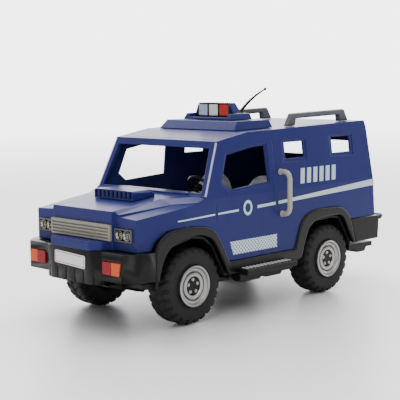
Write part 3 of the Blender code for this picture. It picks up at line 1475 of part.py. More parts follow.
def build():
    clear_scene()
    blue = material("body_blue", (58, 70, 115), 0.32)
    dark = material("dark_plastic", (48, 48, 54), 0.45)
    silver = material("silver_plastic", (165, 163, 160), 0.35, 0.4)
    grey = material("grey_plastic", (150, 150, 150), 0.45)
    seat_grey = material("seat_grey", (120, 122, 126), 0.5)
    rubber = material("tyre_rubber", (38, 38, 40), 0.7)
    steel = material("steel", (180, 180, 182), 0.3, 1.0)
    red = material("lamp_red", (165, 60, 55), 0.25)
    orange = material("lamp_orange", (195, 105, 60), 0.25)
    pale_blue = material("lens_pale_blue", (165, 180, 200), 0.2)
    white = material("plate_white", (205, 205, 200), 0.35)
    make_body_shell(blue)
    make_hood_scoop(blue)
    make_grille(silver)
    make_number_plate(white)
    for side, word in ((1, "left"), (-1, "right")):
        make_headlight("headlight_" + word, side, silver)
        make_marker_lamp("red_lamp_" + word, side, RED_LAMP_X, 0, red)
        make_marker_lamp("orange_lamp_" + word, side, ORANGE_LAMP_X, LAMP_SLANT, orange)
        make_cladding("side_cladding_" + word, side, dark)
        make_running_board("running_board_" + word, side, dark)
        make_grab_handle("grab_handle_" + word, side, silver)
        make_roof_rail("roof_rail_" + word, side, grey)
        make_seat("seat_" + word, side, seat_grey)
    make_front_bumper(dark)
    make_skid_plate(dark)
    make_rear_bumper(dark)
    make_rear_step(dark)
    make_chassis_pan(dark)
    make_axle_retainer("front_axle_retainer", FRONT_Y, dark)
    make_axle_retainer("rear_axle_retainer", REAR_Y, dark)
    for end, wheel_y in (("front", FRONT_Y), ("rear", REAR_Y)):
        for side, word in ((1, "left"), (-1, "right")):
            make_retainer_screw(end + "_retainer_screw_" + word, side, wheel_y, steel)
    make_roof_panel(blue)
    make_roof_platform(blue)
    make_light_base(blue)
    make_light_housing(blue)
    make_lens_frame(dark)
    for index, (name, finish) in enumerate((
            ("lens_blue", pale_blue), ("lens_white", white), ("lens_red", red))):
        make_lens(name, index, finish)
    make_antenna(dark)
    hinge = axis_line("tailgate_line", (0, HINGE_Y, HINGE_Z))
    make_tailgate(blue, hinge)
    make_hinge_pin(steel)
    finishes = {"steel": steel, "rim": silver, "rubber": rubber}
    make_axle_set("front", FRONT_Y, finishes)
    make_axle_set("rear", REAR_Y, finishes)
    steering_line = axis_line("steering_line", WHEEL_POS, -COLUMN_TILT)
    make_dashboard(seat_grey, steering_line)
    make_steering_wheel(dark, steering_line)


build()
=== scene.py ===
"""Looks of the toy van: moulded plastic, decals, wheels, lamps, studio and camera."""
import json
import math

import bmesh
import bpy
from mathutils import Matrix, Vector

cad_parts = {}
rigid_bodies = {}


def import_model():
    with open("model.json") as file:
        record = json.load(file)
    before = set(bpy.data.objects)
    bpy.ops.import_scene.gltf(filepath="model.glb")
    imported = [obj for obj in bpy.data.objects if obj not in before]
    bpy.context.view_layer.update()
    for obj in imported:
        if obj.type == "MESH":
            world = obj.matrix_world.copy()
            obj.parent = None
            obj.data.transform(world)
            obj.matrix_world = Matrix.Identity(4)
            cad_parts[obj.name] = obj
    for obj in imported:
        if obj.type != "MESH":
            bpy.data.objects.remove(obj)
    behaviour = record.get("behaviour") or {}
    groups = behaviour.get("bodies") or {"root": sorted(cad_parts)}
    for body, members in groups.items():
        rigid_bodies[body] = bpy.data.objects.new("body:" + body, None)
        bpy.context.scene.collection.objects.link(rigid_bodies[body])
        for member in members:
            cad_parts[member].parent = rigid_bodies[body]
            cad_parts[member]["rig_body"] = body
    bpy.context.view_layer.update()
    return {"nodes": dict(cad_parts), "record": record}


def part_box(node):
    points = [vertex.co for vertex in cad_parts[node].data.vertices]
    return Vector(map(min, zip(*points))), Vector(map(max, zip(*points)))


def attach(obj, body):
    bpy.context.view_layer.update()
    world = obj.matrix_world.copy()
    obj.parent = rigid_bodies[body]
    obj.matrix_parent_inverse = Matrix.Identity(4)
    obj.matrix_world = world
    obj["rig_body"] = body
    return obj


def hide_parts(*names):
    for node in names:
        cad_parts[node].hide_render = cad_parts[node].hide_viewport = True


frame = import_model()
NODES = frame["nodes"]
SLOT_OF = {row["node"]: row["material_slot"] for row in frame["record"]["subparts"]}
SIDES = ((1, "left"), (-1, "right"))

# Finishes: the sRGB colour, and what differs from the usual plastic or metal
PLASTICS = {
    "body_blue": dict(color=(38, 43, 99), rough=(0.26, 0.38), spread=0.05, round_edge=0.0011,
                      shine=0.14),
    "silver": dict(color=(160, 159, 149), rough=(0.24, 0.36), spread=0.05),
    "champagne": dict(color=(140, 137, 124), rough=(0.24, 0.36), round_edge=0.0004),
    "plate_white": dict(color=(226, 226, 220), rough=(0.3, 0.45), spread=0.03),
    "lens_pale_blue": dict(color=(170, 188, 208), rough=(0.12, 0.2), spread=0.04),
    "lamp_red": dict(color=(186, 50, 44), rough=(0.14, 0.24), spread=0.05),
    "lamp_orange": dict(color=(226, 110, 52), rough=(0.14, 0.24), spread=0.05),
    "marker_red": dict(color=(138, 20, 24), rough=(0.14, 0.24), spread=0.05, shine=0.2),
    "marker_orange": dict(color=(200, 82, 32), rough=(0.14, 0.24), spread=0.05, shine=0.2),
    "bezel_grey": dict(color=(96, 93, 86), rough=(0.24, 0.36), round_edge=0.0004),
    "flare_plastic": dict(color=(15, 14, 13), rough=(0.24, 0.36), spread=0.1, grain=1800,
                          depth=0.00006, shine=0.28),
    # painted shade: liners blacker than the other black plastic, for the shade inside the wheel
    # arches
    "liner_shade_black": dict(color=(7, 7, 7), rough=(0.5, 0.65), spread=0.1, shine=0.1),
    # painted highlight: pale bead colour standing for the highlight along the windscreen pillar's
    # corner
    "pillar_highlight_pale": dict(color=(172, 178, 202), rough=(0.2, 0.3), spread=0.05),
    # painted highlight: pale rib colour standing for the highlights on the step boards' dark
    # knurled tread
    "tread_highlight_grey": dict(color=(188, 186, 182), rough=(0.3, 0.45)),
    "dark_plastic": dict(color=(20, 18, 18), rough=(0.3, 0.44), spread=0.1, grain=1800,
                         depth=0.00006, shine=0.2),
    "grey_plastic": dict(color=(86, 88, 92), rough=(0.32, 0.46), spread=0.05),
    "seat_grey": dict(color=(240, 238, 232), rough=(0.4, 0.55), spread=0.05),
    "tyre_rubber": dict(color=(23, 23, 24), rough=(0.5, 0.7), spread=0.12, grain=1500,
                        depth=0.0001),
    "decal_pale": dict(color=(192, 210, 214), rough=(0.3, 0.4), spread=0.03, round_edge=0)}
METALS = {
    "rim_silver": dict(color=(172, 171, 168), rough=(0.3, 0.42), round_edge=0.0003),
    "chrome": dict(color=(150, 146, 138), rough=(0.2, 0.28)),
    "steel": dict(color=(190, 190, 192))}

# Surfaces: colour drift, rough patches, grain and edges of plastic, metal, sticker and paper
DRIFT_STOPS = (0.3, 0.7)
PLASTIC_DRIFT = 25
METAL_DRIFT = 40
METAL_SPREAD = 0.08
METAL_GRAIN = (3000, 0.00002)
PATCH_SCALE = 60
GRAIN_STRENGTH = 0.35
EDGE_SAMPLES = 6
PAPER = (236, 235, 235)
PAPER_SPREAD = 0.01
PAPER_DRIFT = 3
PAPER_ROUGH = 0.35
PAPER_SHINE = 0.35
HATCH_ROUGH = 0.35
HATCH_COLORS = ((214, 230, 232), (84, 110, 150))
HATCH_STOPS = (0.15, 0.30)
HATCH_SCALE = 128

# Angles in degrees: shaded sharp above, rounded above, merged as flat below
SHARP_TURNED = 35
SHARP_BEVELLED = 60
SHARP_SOFT = 32
SHARP_BUMPER = 48
ROUND_SOFT = 28
ROUND_USUAL = 40
ROUND_RAIL = 20
MERGE_FLAT = 1.5

# Body side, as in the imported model
BODY_HALF = 0.0648
WAIST_Z = 0.0966
TUMBLEHOME = 0.1206
TAPER_START_Y = -0.1000
TAPER = 0.1111

# Wheel arches and flares: each arch as points of (y, z), with y from the wheel's centre
FRONT_WHEEL_Y = -0.0896
REAR_WHEEL_Y = 0.0765
FLARE_X = (0.0624, 0.0666)
FLARE_EDGE = 0.0019
FRONT_ARCH_INNER = [
    (-0.0392, 0.0397), (-0.0341, 0.0542), (-0.0243, 0.0648), (-0.0012, 0.0699),
    (0.0116, 0.0680), (0.0214, 0.0612), (0.0364, 0.0347)]
FRONT_ARCH_OUTER = [
    (-0.0426, 0.0619), (-0.0389, 0.0691), (-0.0280, 0.0759), (-0.0079, 0.0775),
    (0.0129, 0.0752), (0.0243, 0.0679), (0.0372, 0.0450)]
REAR_ARCH_INNER = [
    (-0.0400, 0.0361), (-0.0306, 0.0592), (-0.0183, 0.0670), (0.0055, 0.0683),
    (0.0170, 0.0664), (0.0259, 0.0537), (0.0334, 0.0410)]
REAR_ARCH_OUTER = [
    (-0.0485, 0.0450), (-0.0387, 0.0679), (-0.0225, 0.0757), (0.0055, 0.0758),
    (0.0155, 0.0746), (0.0236, 0.0699), (0.0298, 0.0612), (0.0363, 0.0408)]
LINER_X = (0.0380, 0.0622)
LINER_OUT = 0.0014
LINER_THICK = 0.0008

# Bead along the corner of the windscreen pillar, pale as a painted highlight: shares of the way
# and of the radius
PILLAR_EDGE = ((0.0644, -0.0777, 0.0984), (0.0594, -0.0600, 0.1396))
BEAD_R = 0.0008
BEAD_SUNK = 0.0004
BEAD_LINE = ((0, 0.5), (0.01, 1), (0.25, 1), (0.5, 1), (0.75, 1), (0.99, 1), (1, 0.5))

# Whip antenna: foot, bend, thickness and tip
WHIP_FOOT_BAND = 0.0005
WHIP_FOOT_TOP = 0.0012
WHIP_FOOT_R = (0.0022, 0.0021)
WHIP_START = 0.0013
WHIP_BEND = (0.38, 0.60)
WHIP_R = (0.0014, 0.0007)
WHIP_STEPS = 24
TIP_INSET = 0.0014
TIP_R = 0.0013
TIP_POLE_R = 0.0001
TIP_STEPS = 8

# Roof rails: outer lean, feet, lean of the inner outline and thickness of the bar
RAIL_LEAN = 0.0065
RAIL_FOOT = (0.0104, 0.0130)
RAIL_INNER_LEAN = (0.0014, 0.0010)
RAIL_THICK = 0.0048
RAIL_EDGE = 0.0013
RAIL_END_BAND = 0.001

# Step boards, their ribs and the beams below them
BOARD_TOP_Z = 0.0385
BOARD_RIB_X = (0.0672, 0.0742)
BOARD_RIB = (0.0010, 0.0006)
BOARD_RIB_TOP = 0.55
BOARD_RIB_PITCH = 0.0043
BOARD_RIB_MARGIN = 0.0060
BEAM_X = (0.0560, 0.0655)
BEAM_LINE = [
    (-0.0400, 0.0285), (-0.0380, 0.0262), (-0.0165, 0.0262), (-0.0145, 0.0276), (-0.0105, 0.0276),
    (-0.0085, 0.0264), (0.0100, 0.0264), (0.0120, 0.0288), (0.0240, 0.0288), (0.0260, 0.0305)]
BEAM_SUNK = 0.0004
PLATE_EDGE = 0.0005

# Rear step: round bar along its end and a bracket below each end
STEP_BAR_R = 0.0024
STEP_BAR_INSET = 0.0004
STEP_BAR_LINE = ((-1, 0.6), (-0.985, 0.9), (-0.96, 1), (0, 1), (0.96, 1), (0.985, 0.9), (1, 0.6))
BRACKET_X = (0.0012, 0.0100)
BRACKET_Y = (-0.0006, 0.0030)
BRACKET_DROP = 0.0070

# Feet of the grab handles: shares of the thickness and of the radius
HANDLE_R = 0.0022
HANDLE_END_BAND = HANDLE_R * 1.2
FOOT_R = 0.0027
FOOT_THICK = 0.0008
FOOT_LIFT = 0.0001
FOOT_LINE = ((0, 1), (0.6, 1), (1, 0.8))
FOOT_STEPS = 24

# Seats: side outline, share of the outline at each station across, and the domed top
SEAT_PROFILE = [
    (-0.0250, 0.0384), (-0.0250, 0.0700), (-0.0210, 0.0745), (-0.0020, 0.0735),
    (0.0140, 0.0722), (0.0205, 0.0790), (0.0235, 0.0960), (0.0275, 0.1052), (0.0325, 0.1060),
    (0.0362, 0.1010), (0.0380, 0.0800), (0.0378, 0.0600), (0.0330, 0.0384)]
SEAT_STATIONS = (
    (-1.0, 0.80), (-0.97, 0.93), (-0.86, 0.985), (-0.5, 1.0), (0.0, 1.0), (0.5, 1.0),
    (0.86, 0.985), (0.97, 0.93), (1.0, 0.80))
SEAT_DOME = 0.0110
SEAT_CUSHION_Z = 0.0722
SEAT_DOME_START = 0.005
SEAT_TOP_Z = 0.106
SEAT_PLINTH_Z = 0.045
SEAT_MIDDLE = (0.012, 0.070)

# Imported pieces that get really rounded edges, with the width of the rounding
SOFT_EDGES = (
    ("roof_platform", 0.0007), ("light_bar_base", 0.0005), ("light_bar_housing", 0.0007),
    ("lens_red", 0.0003), ("lens_white", 0.0003), ("lens_blue", 0.0003),
    ("rear_bumper", 0.0008), ("rear_step", 0.0010), ("hood_scoop", 0.0004))
LAMP_EDGE = 0.0003
WELD = 0.000002

# Number plate, set slightly askew as in the photograph
BUMPER_FACE_Y = -0.1605
PLATE_CENTRE_Z = 0.0540
PLATE_HALF = (0.0184, 0.0050)
PLATE_CUT = 0.0010
PLATE_THICK = 0.0004
PLATE_ROUND = 0.00012
PLATE_TURN = math.radians(2.5)
PLATE_LINE = (0.0010, 0.0003)
PLATE_LINE_Y = (-0.00048, -0.00030)

# Wheels, about the wheel's own centre; profiles are (x, radius)
TYRE_R = 0.0305
TYRE_LUGS = 24
TYRE_LUG_STEPS = 14
TYRE_LUG = 0.0011
TYRE_BLOCK_SHARE = 0.74
TYRE_LUG_SLANT = 0.45
TYRE_LUG_FLANK = 0.05
TYRE_GROOVE_HALF = 0.06
TYRE_TREAD_HALF = 0.0084
TYRE_TREAD_ROWS = 14
TYRE_CROWN = 0.0006
TYRE_WALL = [
    (0.0070, 0.0150), (0.0090, 0.0152), (0.0100, 0.0166), (0.0106, 0.0176), (0.0109, 0.0195),
    (0.0110, 0.0215), (0.0110, 0.0240), (0.0110, 0.0260), (0.0108, 0.0272), (0.0104, 0.0282),
    (0.0098, 0.0290), (0.0090, 0.0295)]
SHOULDER_R = (0.0264, 0.0276)
RIM_PROFILE = [
    (-0.0180, 0.0020), (-0.0180, 0.0144), (-0.0040, 0.0144), (-0.0036, 0.0158),
    (-0.0010, 0.0162), (-0.0003, 0.0161), (0.0, 0.0156), (-0.0001, 0.0150), (-0.0005, 0.0145),
    (-0.0018, 0.0142), (-0.0021, 0.0139), (-0.0017, 0.0135), (-0.0017, 0.0125),
    (-0.0023, 0.0117), (-0.0037, 0.0113), (-0.0038, 0.0109), (-0.0026, 0.0106),
    (-0.0019, 0.0102), (-0.0017, 0.0092), (-0.0018, 0.0079), (-0.0024, 0.0074),
    (-0.0048, 0.0072), (-0.0060, 0.0071), (-0.0060, 0.0002)]
RECESS_PROFILE = [
    (-0.0059, 0.0002), (-0.0058, 0.0030), (-0.0057, 0.0062), (-0.0055, 0.0068),
    (-0.0040, 0.0070), (-0.0026, 0.0071), (-0.0029, 0.0074)]
RIM_STEPS = 72
RECESS_STEPS = 48
NUT_COUNT = 5
NUT_STEPS = 18
NUT_TURN = 0.25
NUT_PITCH_R = 0.0052
NUT_PROFILE = [(-0.0062, 0.0018), (-0.0032, 0.0017), (-0.0025, 0.0014), (-0.0022, 0.0007)]

# Headlights: bezel, floor of the bezel and two bowls as (radius, depth)
HEADLIGHT_RIM = 0.0007
BEZEL_EDGE = 0.0002
BEZEL_FLOOR = (0.0040, 0.0006)
BOWL_SHARES = (0.27, 0.73)
BOWL_STEPS = 28
BOWL_PROFILE = [
    (0.0039, 0.0014), (0.0039, 0.0003), (0.0036, 0.0002), (0.0033, 0.0006), (0.0027, 0.0012),
    (0.0018, 0.0016), (0.0010, 0.0017), (0.0008, 0.0012), (0.0005, 0.0010)]

# Stickers on the side, in side view
DECAL_BACK = 0.00002
DECAL_LIFT = 0.00012
DECAL_SECOND_LIFT = 0.00018
STRIPE_LOWER = [(-0.1070, 0.0823), (-0.0676, 0.0836), (-0.0180, 0.0845), (0.1410, 0.0904)]
STRIPE_UPPER = [(-0.1070, 0.0833), (-0.0676, 0.0849), (0.0040, 0.0877), (0.1410, 0.0962)]
STRIPE_RUNS = [(-0.1070, -0.0676), (-0.0640, -0.0405), (-0.0181, 0.0042), (0.0080, 0.1410)]
ROUNDEL = (-0.0296, 0.0860)
ROUNDEL_HALF = (0.0052, 0.0062)
ROUNDEL_HOLE = 0.6
ROUNDEL_STEPS = 32
BARS_Y = (0.0370, 0.0880)
BARS_Z = (0.1000, 0.1128)
BAR_COUNT = 6
BAR_SHARE = 0.62
BAR_SLANT = 0.0022
KICK_PANEL = [(-0.0470, 0.0498), (0.0058, 0.0498), (0.0058, 0.0606), (-0.0509, 0.0606)]

# Studio: name, place, size and power of each light, the wall behind the car and the floor
LIGHTS = (
    ("key_light", (0.9, -0.7, 1.5), (1.2, 1.2), 14),
    ("top_light", (-0.3, 0.3, 1.8), (1.6, 1.6), 22),
    ("strip_light", (0.75, -1.6, 0.75), (0.16, 1.1), 5))
LIT_SPOT = Vector((0, 0, 0.07))
WALL_DIRECTION = (-0.70, 0.70, 0.10)
WALL_SPREAD = (0.2, 0.8)
WALL_STRENGTH = 4.8
ROOM_STRENGTH = 0.5
WALL_COLOR = (0.97, 0.965, 1.0, 1)
FLOOR_HALF = 6
FLOOR_Z = -0.0001
FLOOR_FADE = (0.5, 3.0)
# painted shade: reach and depth of the ambient occlusion multiplied into the floor's colour near
# the car
CONTACT_SHADE_REACH = 0.07
CONTACT_SHADE_DEPTH = 0.45

# Fitted camera of the photograph
CAMERA_AZIMUTH = math.radians(45.0116)
CAMERA_ELEVATION = math.radians(6.781)
CAMERA_ROLL = math.radians(-0.6732)
CAMERA_DISTANCE = 0.9221
CAMERA_SIDE = -0.0136
CAMERA_TARGET_Z = 0.0847
CAMERA_LENS = 95.75
CAMERA_SENSOR = 36
CAMERA_CLIP = 0.01


# Materials

def linear(channel):
    value = channel / 255
    return value / 12.92 if value <= 0.04045 else ((value + 0.055) / 1.055) ** 2.4


def rgb(red, green, blue):
    return (linear(red), linear(green), linear(blue), 1.0)


def new_material(name):
    made = bpy.data.materials.new(name)
    made.use_nodes = True
    tree = made.node_tree
    return made, tree.nodes, tree.links, tree.nodes["Principled BSDF"]


def noise_at(nodes, links, place, scale, detail):
    noise = nodes.new("ShaderNodeTexNoise")
    noise.inputs["Scale"].default_value = scale
    noise.inputs["Detail"].default_value = detail
    links.new(place.outputs["Object"], noise.inputs["Vector"])
    return noise.outputs["Fac"]


def two_tone(nodes, links, value, stops, colors):
    """A ramp between two colours."""
    ramp = nodes.new("ShaderNodeValToRGB")
    for k in (0, 1):
        ramp.color_ramp.elements[k].position = stops[k]
        ramp.color_ramp.elements[k].color = colors[k]
    links.new(value, ramp.inputs["Fac"])
    return ramp.outputs["Color"]


def mapped(nodes, links, value, source=(0, 1), target=(0, 1), soft=True):
    """A value carried from one range to another, with soft ends if wanted."""
    span = nodes.new("ShaderNodeMapRange")
    if soft:
        span.interpolation_type = "SMOOTHSTEP"
    span.inputs["From Min"].default_value, span.inputs["From Max"].default_value = source
    span.inputs["To Min"].default_value, span.inputs["To Max"].default_value = target
    links.new(value, span.inputs["Value"])
    return span.outputs["Result"]


def mottled_color(nodes, links, color, spread, scale):
    """Coordinates, and a base colour that drifts slightly, as moulded plastic does."""
    place = nodes.new("ShaderNodeTexCoord")
    noise = noise_at(nodes, links, place, scale, 4)
    base = rgb(*color)[:3]
    tones = [[c * (1 - spread) for c in base] + [1],
             [min(c * (1 + spread), 1) for c in base] + [1]]
    return place, two_tone(nodes, links, noise, DRIFT_STOPS, tones)


def grained_surface(nodes, links, shader, place, rough, grain, depth, round_edge):
    """Roughness that varies, a fine moulded grain and softly rounded edges."""
    patch = noise_at(nodes, links, place, PATCH_SCALE, 5)
    links.new(mapped(nodes, links, patch, target=rough, soft=False), shader.inputs["Roughness"])
    bump = nodes.new("ShaderNodeBump")
    bump.inputs["Strength"].default_value = GRAIN_STRENGTH
    bump.inputs["Distance"].default_value = depth
    links.new(noise_at(nodes, links, place, grain, 3), bump.inputs["Height"])
    if round_edge:
        edge = nodes.new("ShaderNodeBevel")
        edge.samples = EDGE_SAMPLES
        edge.inputs["Radius"].default_value = round_edge
        links.new(edge.outputs["Normal"], bump.inputs["Normal"])
    links.new(bump.outputs["Normal"], shader.inputs["Normal"])


def plastic(name, color, rough, spread=0.06, grain=2500, depth=0.00004, round_edge=0.0008,
            shine=0.32):
    made, nodes, links, shader = new_material(name)
    place, tone = mottled_color(nodes, links, color, spread, PLASTIC_DRIFT)
    links.new(tone, shader.inputs["Base Color"])
    grained_surface(nodes, links, shader, place, rough, grain, depth, round_edge)
    shader.inputs["IOR"].default_value = 1.5
    shader.inputs["Specular IOR Level"].default_value = shine
    return made


def metal(name, color, rough=(0.2, 0.35), round_edge=0.0004):
    made, nodes, links, shader = new_material(name)
    place, tone = mottled_color(nodes, links, color, METAL_SPREAD, METAL_DRIFT)
    links.new(tone, shader.inputs["Base Color"])
    grained_surface(nodes, links, shader, place, rough, *METAL_GRAIN, round_edge)
    shader.inputs["Metallic"].default_value = 1.0
    return made


def hatched(name):
    """Pale sticker with a fine diamond tread pattern."""
    made, nodes, links, shader = new_material(name)
    place = nodes.new("ShaderNodeTexCoord")
    bands = []
    for lean in (45, -45):
        turn = nodes.new("ShaderNodeMapping")
        turn.inputs["Rotation"].default_value = (math.radians(lean), 0, 0)
        wave = nodes.new("ShaderNodeTexWave")
        wave.bands_direction = "Y"
        wave.inputs["Scale"].default_value = HATCH_SCALE
        links.new(place.outputs["Object"], turn.inputs["Vector"])
        links.new(turn.outputs["Vector"], wave.inputs["Vector"])
        bands.append(wave)
    cross = nodes.new("ShaderNodeMath")
    cross.operation = "MULTIPLY"
    links.new(bands[0].outputs["Fac"], cross.inputs[0])
    links.new(bands[1].outputs["Fac"], cross.inputs[1])
    tones = [rgb(*color) for color in HATCH_COLORS]
    tone = two_tone(nodes, links, cross.outputs["Value"], HATCH_STOPS, tones)
    links.new(tone, shader.inputs["Base Color"])
    shader.inputs["Roughness"].default_value = HATCH_ROUGH
    return made


def make_materials():
    made = {name: plastic(name, **spec) for name, spec in PLASTICS.items()}
    made.update({name: metal(name, **spec) for name, spec in METALS.items()})
    made["hatched"] = hatched("hatched")
    return made


def dress_nodes(finishes):
    """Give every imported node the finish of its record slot."""
    for name, node in NODES.items():
        node.data.materials.clear()
        node.data.materials.append(finishes[SLOT_OF[name]])


# Mesh helpers

def linked(name, data):
    made = bpy.data.objects.new(name, data)
    bpy.context.scene.collection.objects.link(made)
    return made


def mesh_from(name, bm):
    mesh = bpy.data.meshes.new(name)
    bm.to_mesh(mesh)
    bm.free()
    return mesh


def shade_softly(mesh, angle):
    mesh.shade_smooth()
    mesh.set_sharp_from_angle(angle=math.radians(angle))


def mesh_piece(name, bm, finish, body, smooth=False):
    bmesh.ops.recalc_face_normals(bm, faces=bm.faces)
    mesh = mesh_from(name, bm)
    if smooth:
        shade_softly(mesh, SHARP_TURNED)
    mesh.materials.append(finish)
    piece = linked(name, mesh)
    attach(piece, body)
    return piece


def skin(bm, rows, loop=False):
    """Join rows of points to a skin, with flat ends or closed round on itself."""
    rings = [[bm.verts.new(point) for point in row] for row in rows]
    for near, far in zip(rings, rings[1:] + (rings[:1] if loop else [])):
        for i in range(len(near)):
            j = (i + 1) % len(near)
            bm.faces.new((near[i], near[j], far[j], far[i]))
    if not loop:
        bm.faces.new(rings[0])
        bm.faces.new(rings[-1])


def circle(radius, steps, start=0.0):
    turns = [2 * math.pi * (i + start) / steps for i in range(steps)]
    return [(radius * math.cos(turn), radius * math.sin(turn)) for turn in turns]


def side_plate(name, reach, outline, finish, body="chassis"):
    """A side outline of (y, z) drawn between two values of x."""
    bm = bmesh.new()
    skin(bm, [[(x, y, z) for y, z in outline] for x in reach])
    return mesh_piece(name, bm, finish, body)


def tube(name, route, radii, finish, body, steps=12):
    """Round bar through points, thick as the radii say, with closed ends."""
    points = [Vector(p) for p in route]
    rows = []
    for i, (point, radius) in enumerate(zip(points, radii)):
        along = points[min(i + 1, len(points) - 1)] - points[max(i - 1, 0)]
        turn = along.to_track_quat("Z", "X")
        rows.append([point + turn @ (Vector((x, y, 0)) * radius) for x, y in circle(1, steps)])
    bm = bmesh.new()
    skin(bm, rows)
    return mesh_piece(name, bm, finish, body, smooth=True)


def turned(name, profile, centre, side, steps, finish, body):
    """Solid turned from a profile of (x, radius) round an axis along X through (y, z)."""
    bm = bmesh.new()
    skin(bm, [[(side * x, centre[0] + a, centre[1] + b) for a, b in circle(r, steps)]
              for x, r in profile])
    return mesh_piece(name, bm, finish, body, smooth=True)


def round_edges(piece, width, segments, angle):
    edge = piece.modifiers.new("rounded_edges", "BEVEL")
    edge.width = width
    edge.segments = segments
    edge.limit_method = "ANGLE"
    edge.angle_limit = math.radians(angle)
    edge.use_clamp_overlap = True
    edge.harden_normals = True


def bevelled(piece, width, segments, angle=ROUND_USUAL):
    round_edges(piece, width, segments, angle)
    shade_softly(piece.data, SHARP_BEVELLED)


def smooth_line(points, steps=6):
    """Points of a soft curve through a row of corners."""
    line = []
    last = len(points) - 1
    for k in range(last):
        before, here = points[max(k - 1, 0)], points[k]
        there, after = points[k + 1], points[min(k + 2, last)]
        for i in range(steps):
            t = i / steps
            line.append(tuple(
                0.5 * (2 * b + (c - a) * t + (2 * a - 5 * b + 4 * c - d) * t ** 2
                       + (3 * b - a - 3 * c + d) * t ** 3)
                for a, b, c, d in zip(before, here, there, after)))
    line.append(points[last])
    return line


def side_x(y, z):
    """Half width of the body outside at a point of its side."""
    x = BODY_HALF - TUMBLEHOME * max(z - WAIST_Z, 0)
    return x - TAPER * max(TAPER_START_Y - y, 0)


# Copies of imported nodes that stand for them

def stand_in(prefix, name, finish, sharp, merge_flat):
    """A welded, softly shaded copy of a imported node, which stands for it."""
    source = NODES[name]
    bm = bmesh.new()
    bm.from_mesh(source.data)
    bmesh.ops.remove_doubles(bm, verts=bm.verts, dist=WELD)
    if merge_flat:
        bmesh.ops.dissolve_limit(
            bm, angle_limit=math.radians(MERGE_FLAT), verts=bm.verts[:], edges=bm.edges[:])
    mesh = mesh_from(prefix + name, bm)
    shade_softly(mesh, sharp)
    mesh.materials.clear()
    mesh.materials.append(finish)
    piece = linked(prefix + name, mesh)
    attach(piece, source["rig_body"])
    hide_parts(name)
    return piece


def softened(name, width, finish):
    """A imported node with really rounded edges."""
    round_edges(stand_in("soft_", name, finish, SHARP_SOFT, True), width, 2, ROUND_SOFT)


def smoothed(name, angle, finish):
    """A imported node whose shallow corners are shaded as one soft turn."""
    piece = stand_in("smooth_", name, finish, angle, False)
    piece.modifiers.new("even_shading", "WEIGHTED_NORMAL").keep_sharp = True


# Wheels

def tread_height(turn, across):
    """How far a tread block stands up, from 0 in a groove to 1 on a block."""
    side_shift = 0.5 if across > 0 else 0.0
    pitch = 2 * math.pi / TYRE_LUGS
    phase = (turn / pitch + side_shift + abs(across) * TYRE_LUG_SLANT) % 1.0
    flank = (TYRE_BLOCK_SHARE / 2 - abs(phase - 0.5)) / TYRE_LUG_FLANK
    middle = (abs(across) - TYRE_GROOVE_HALF) / TYRE_LUG_FLANK
    return min(max(flank, 0), 1) * min(max(middle, 0), 1)


def tyre_piece(name, node, side, finish):
    """Block-tread tyre with bulged side walls and notched shoulders."""
    low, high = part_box(node)
    centre = (low + high) / 2
    steps = TYRE_LUGS * TYRE_LUG_STEPS
    profile = [(a, r, False, 1.0) for a, r in TYRE_WALL]
    for k in range(TYRE_TREAD_ROWS + 1):
        across = 1 - 2 * k / TYRE_TREAD_ROWS
        radius = TYRE_R - TYRE_LUG - TYRE_CROWN * across ** 4
        profile.append((TYRE_TREAD_HALF * across, radius, True, across))
    profile += [(-a, r, False, -1.0) for a, r in reversed(TYRE_WALL)]
    rows = []
    for a, r, on_tread, across in profile:
        row = []
        for i in range(steps):
            turn = 2 * math.pi * (i + 0.5) / steps
            lift = tread_height(turn, across)
            if on_tread:
                x, radius = a, r + TYRE_LUG * lift
            else:
                share = min(max((r - SHOULDER_R[0]) / (SHOULDER_R[1] - SHOULDER_R[0]), 0), 1)
                sunk = TYRE_LUG * share * (1 - lift)
                x, radius = a - sunk * (1 if a > 0 else -1), r - sunk
            row.append((centre.x + side * x, centre.y + radius * math.cos(turn),
                        centre.z + radius * math.sin(turn)))
        rows.append(row)
    bm = bmesh.new()
    skin(bm, rows, loop=True)
    piece = mesh_piece(name, bm, finish, NODES[node]["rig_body"], smooth=True)
    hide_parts(node)


def rim_piece(name, node, side, finish, dark):
    """Stepped wheel rim with a sunk hub and five nuts; the hub's recess is dark as painted shade.
    """
    low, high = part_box(node)
    face = high.x if side > 0 else -low.x
    centre = ((low.y + high.y) / 2, (low.z + high.z) / 2)
    body = NODES[node]["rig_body"]

    def at_face(profile):
        return [(face + a, r) for a, r in profile]

    piece = turned(name, at_face(RIM_PROFILE), centre, side, RIM_STEPS, finish, body)
    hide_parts(node)
    for i, (a, b) in enumerate(circle(NUT_PITCH_R, NUT_COUNT, NUT_TURN)):
        spot = (centre[0] + a, centre[1] + b)
        turned(f"{name}_nut_{i}", at_face(NUT_PROFILE), spot, side, NUT_STEPS, finish, body)
    # painted shade: the sunk hub's recess gets the dark finish for the shade deep in it
    turned(name + "_recess_shade", at_face(RECESS_PROFILE), centre, side, RECESS_STEPS, dark, body)


def wheels(finishes):
    for end in ("front", "rear"):
        for side, word in SIDES:
            tyre_piece(f"tyre_{end}_{word}", f"{end}_tyre_{word}", side, finishes["tyre_rubber"])
            rim_piece(f"rim_{end}_{word}", f"{end}_rim_{word}", side, finishes["rim_silver"],
                      finishes["dark_plastic"])


# Stickers

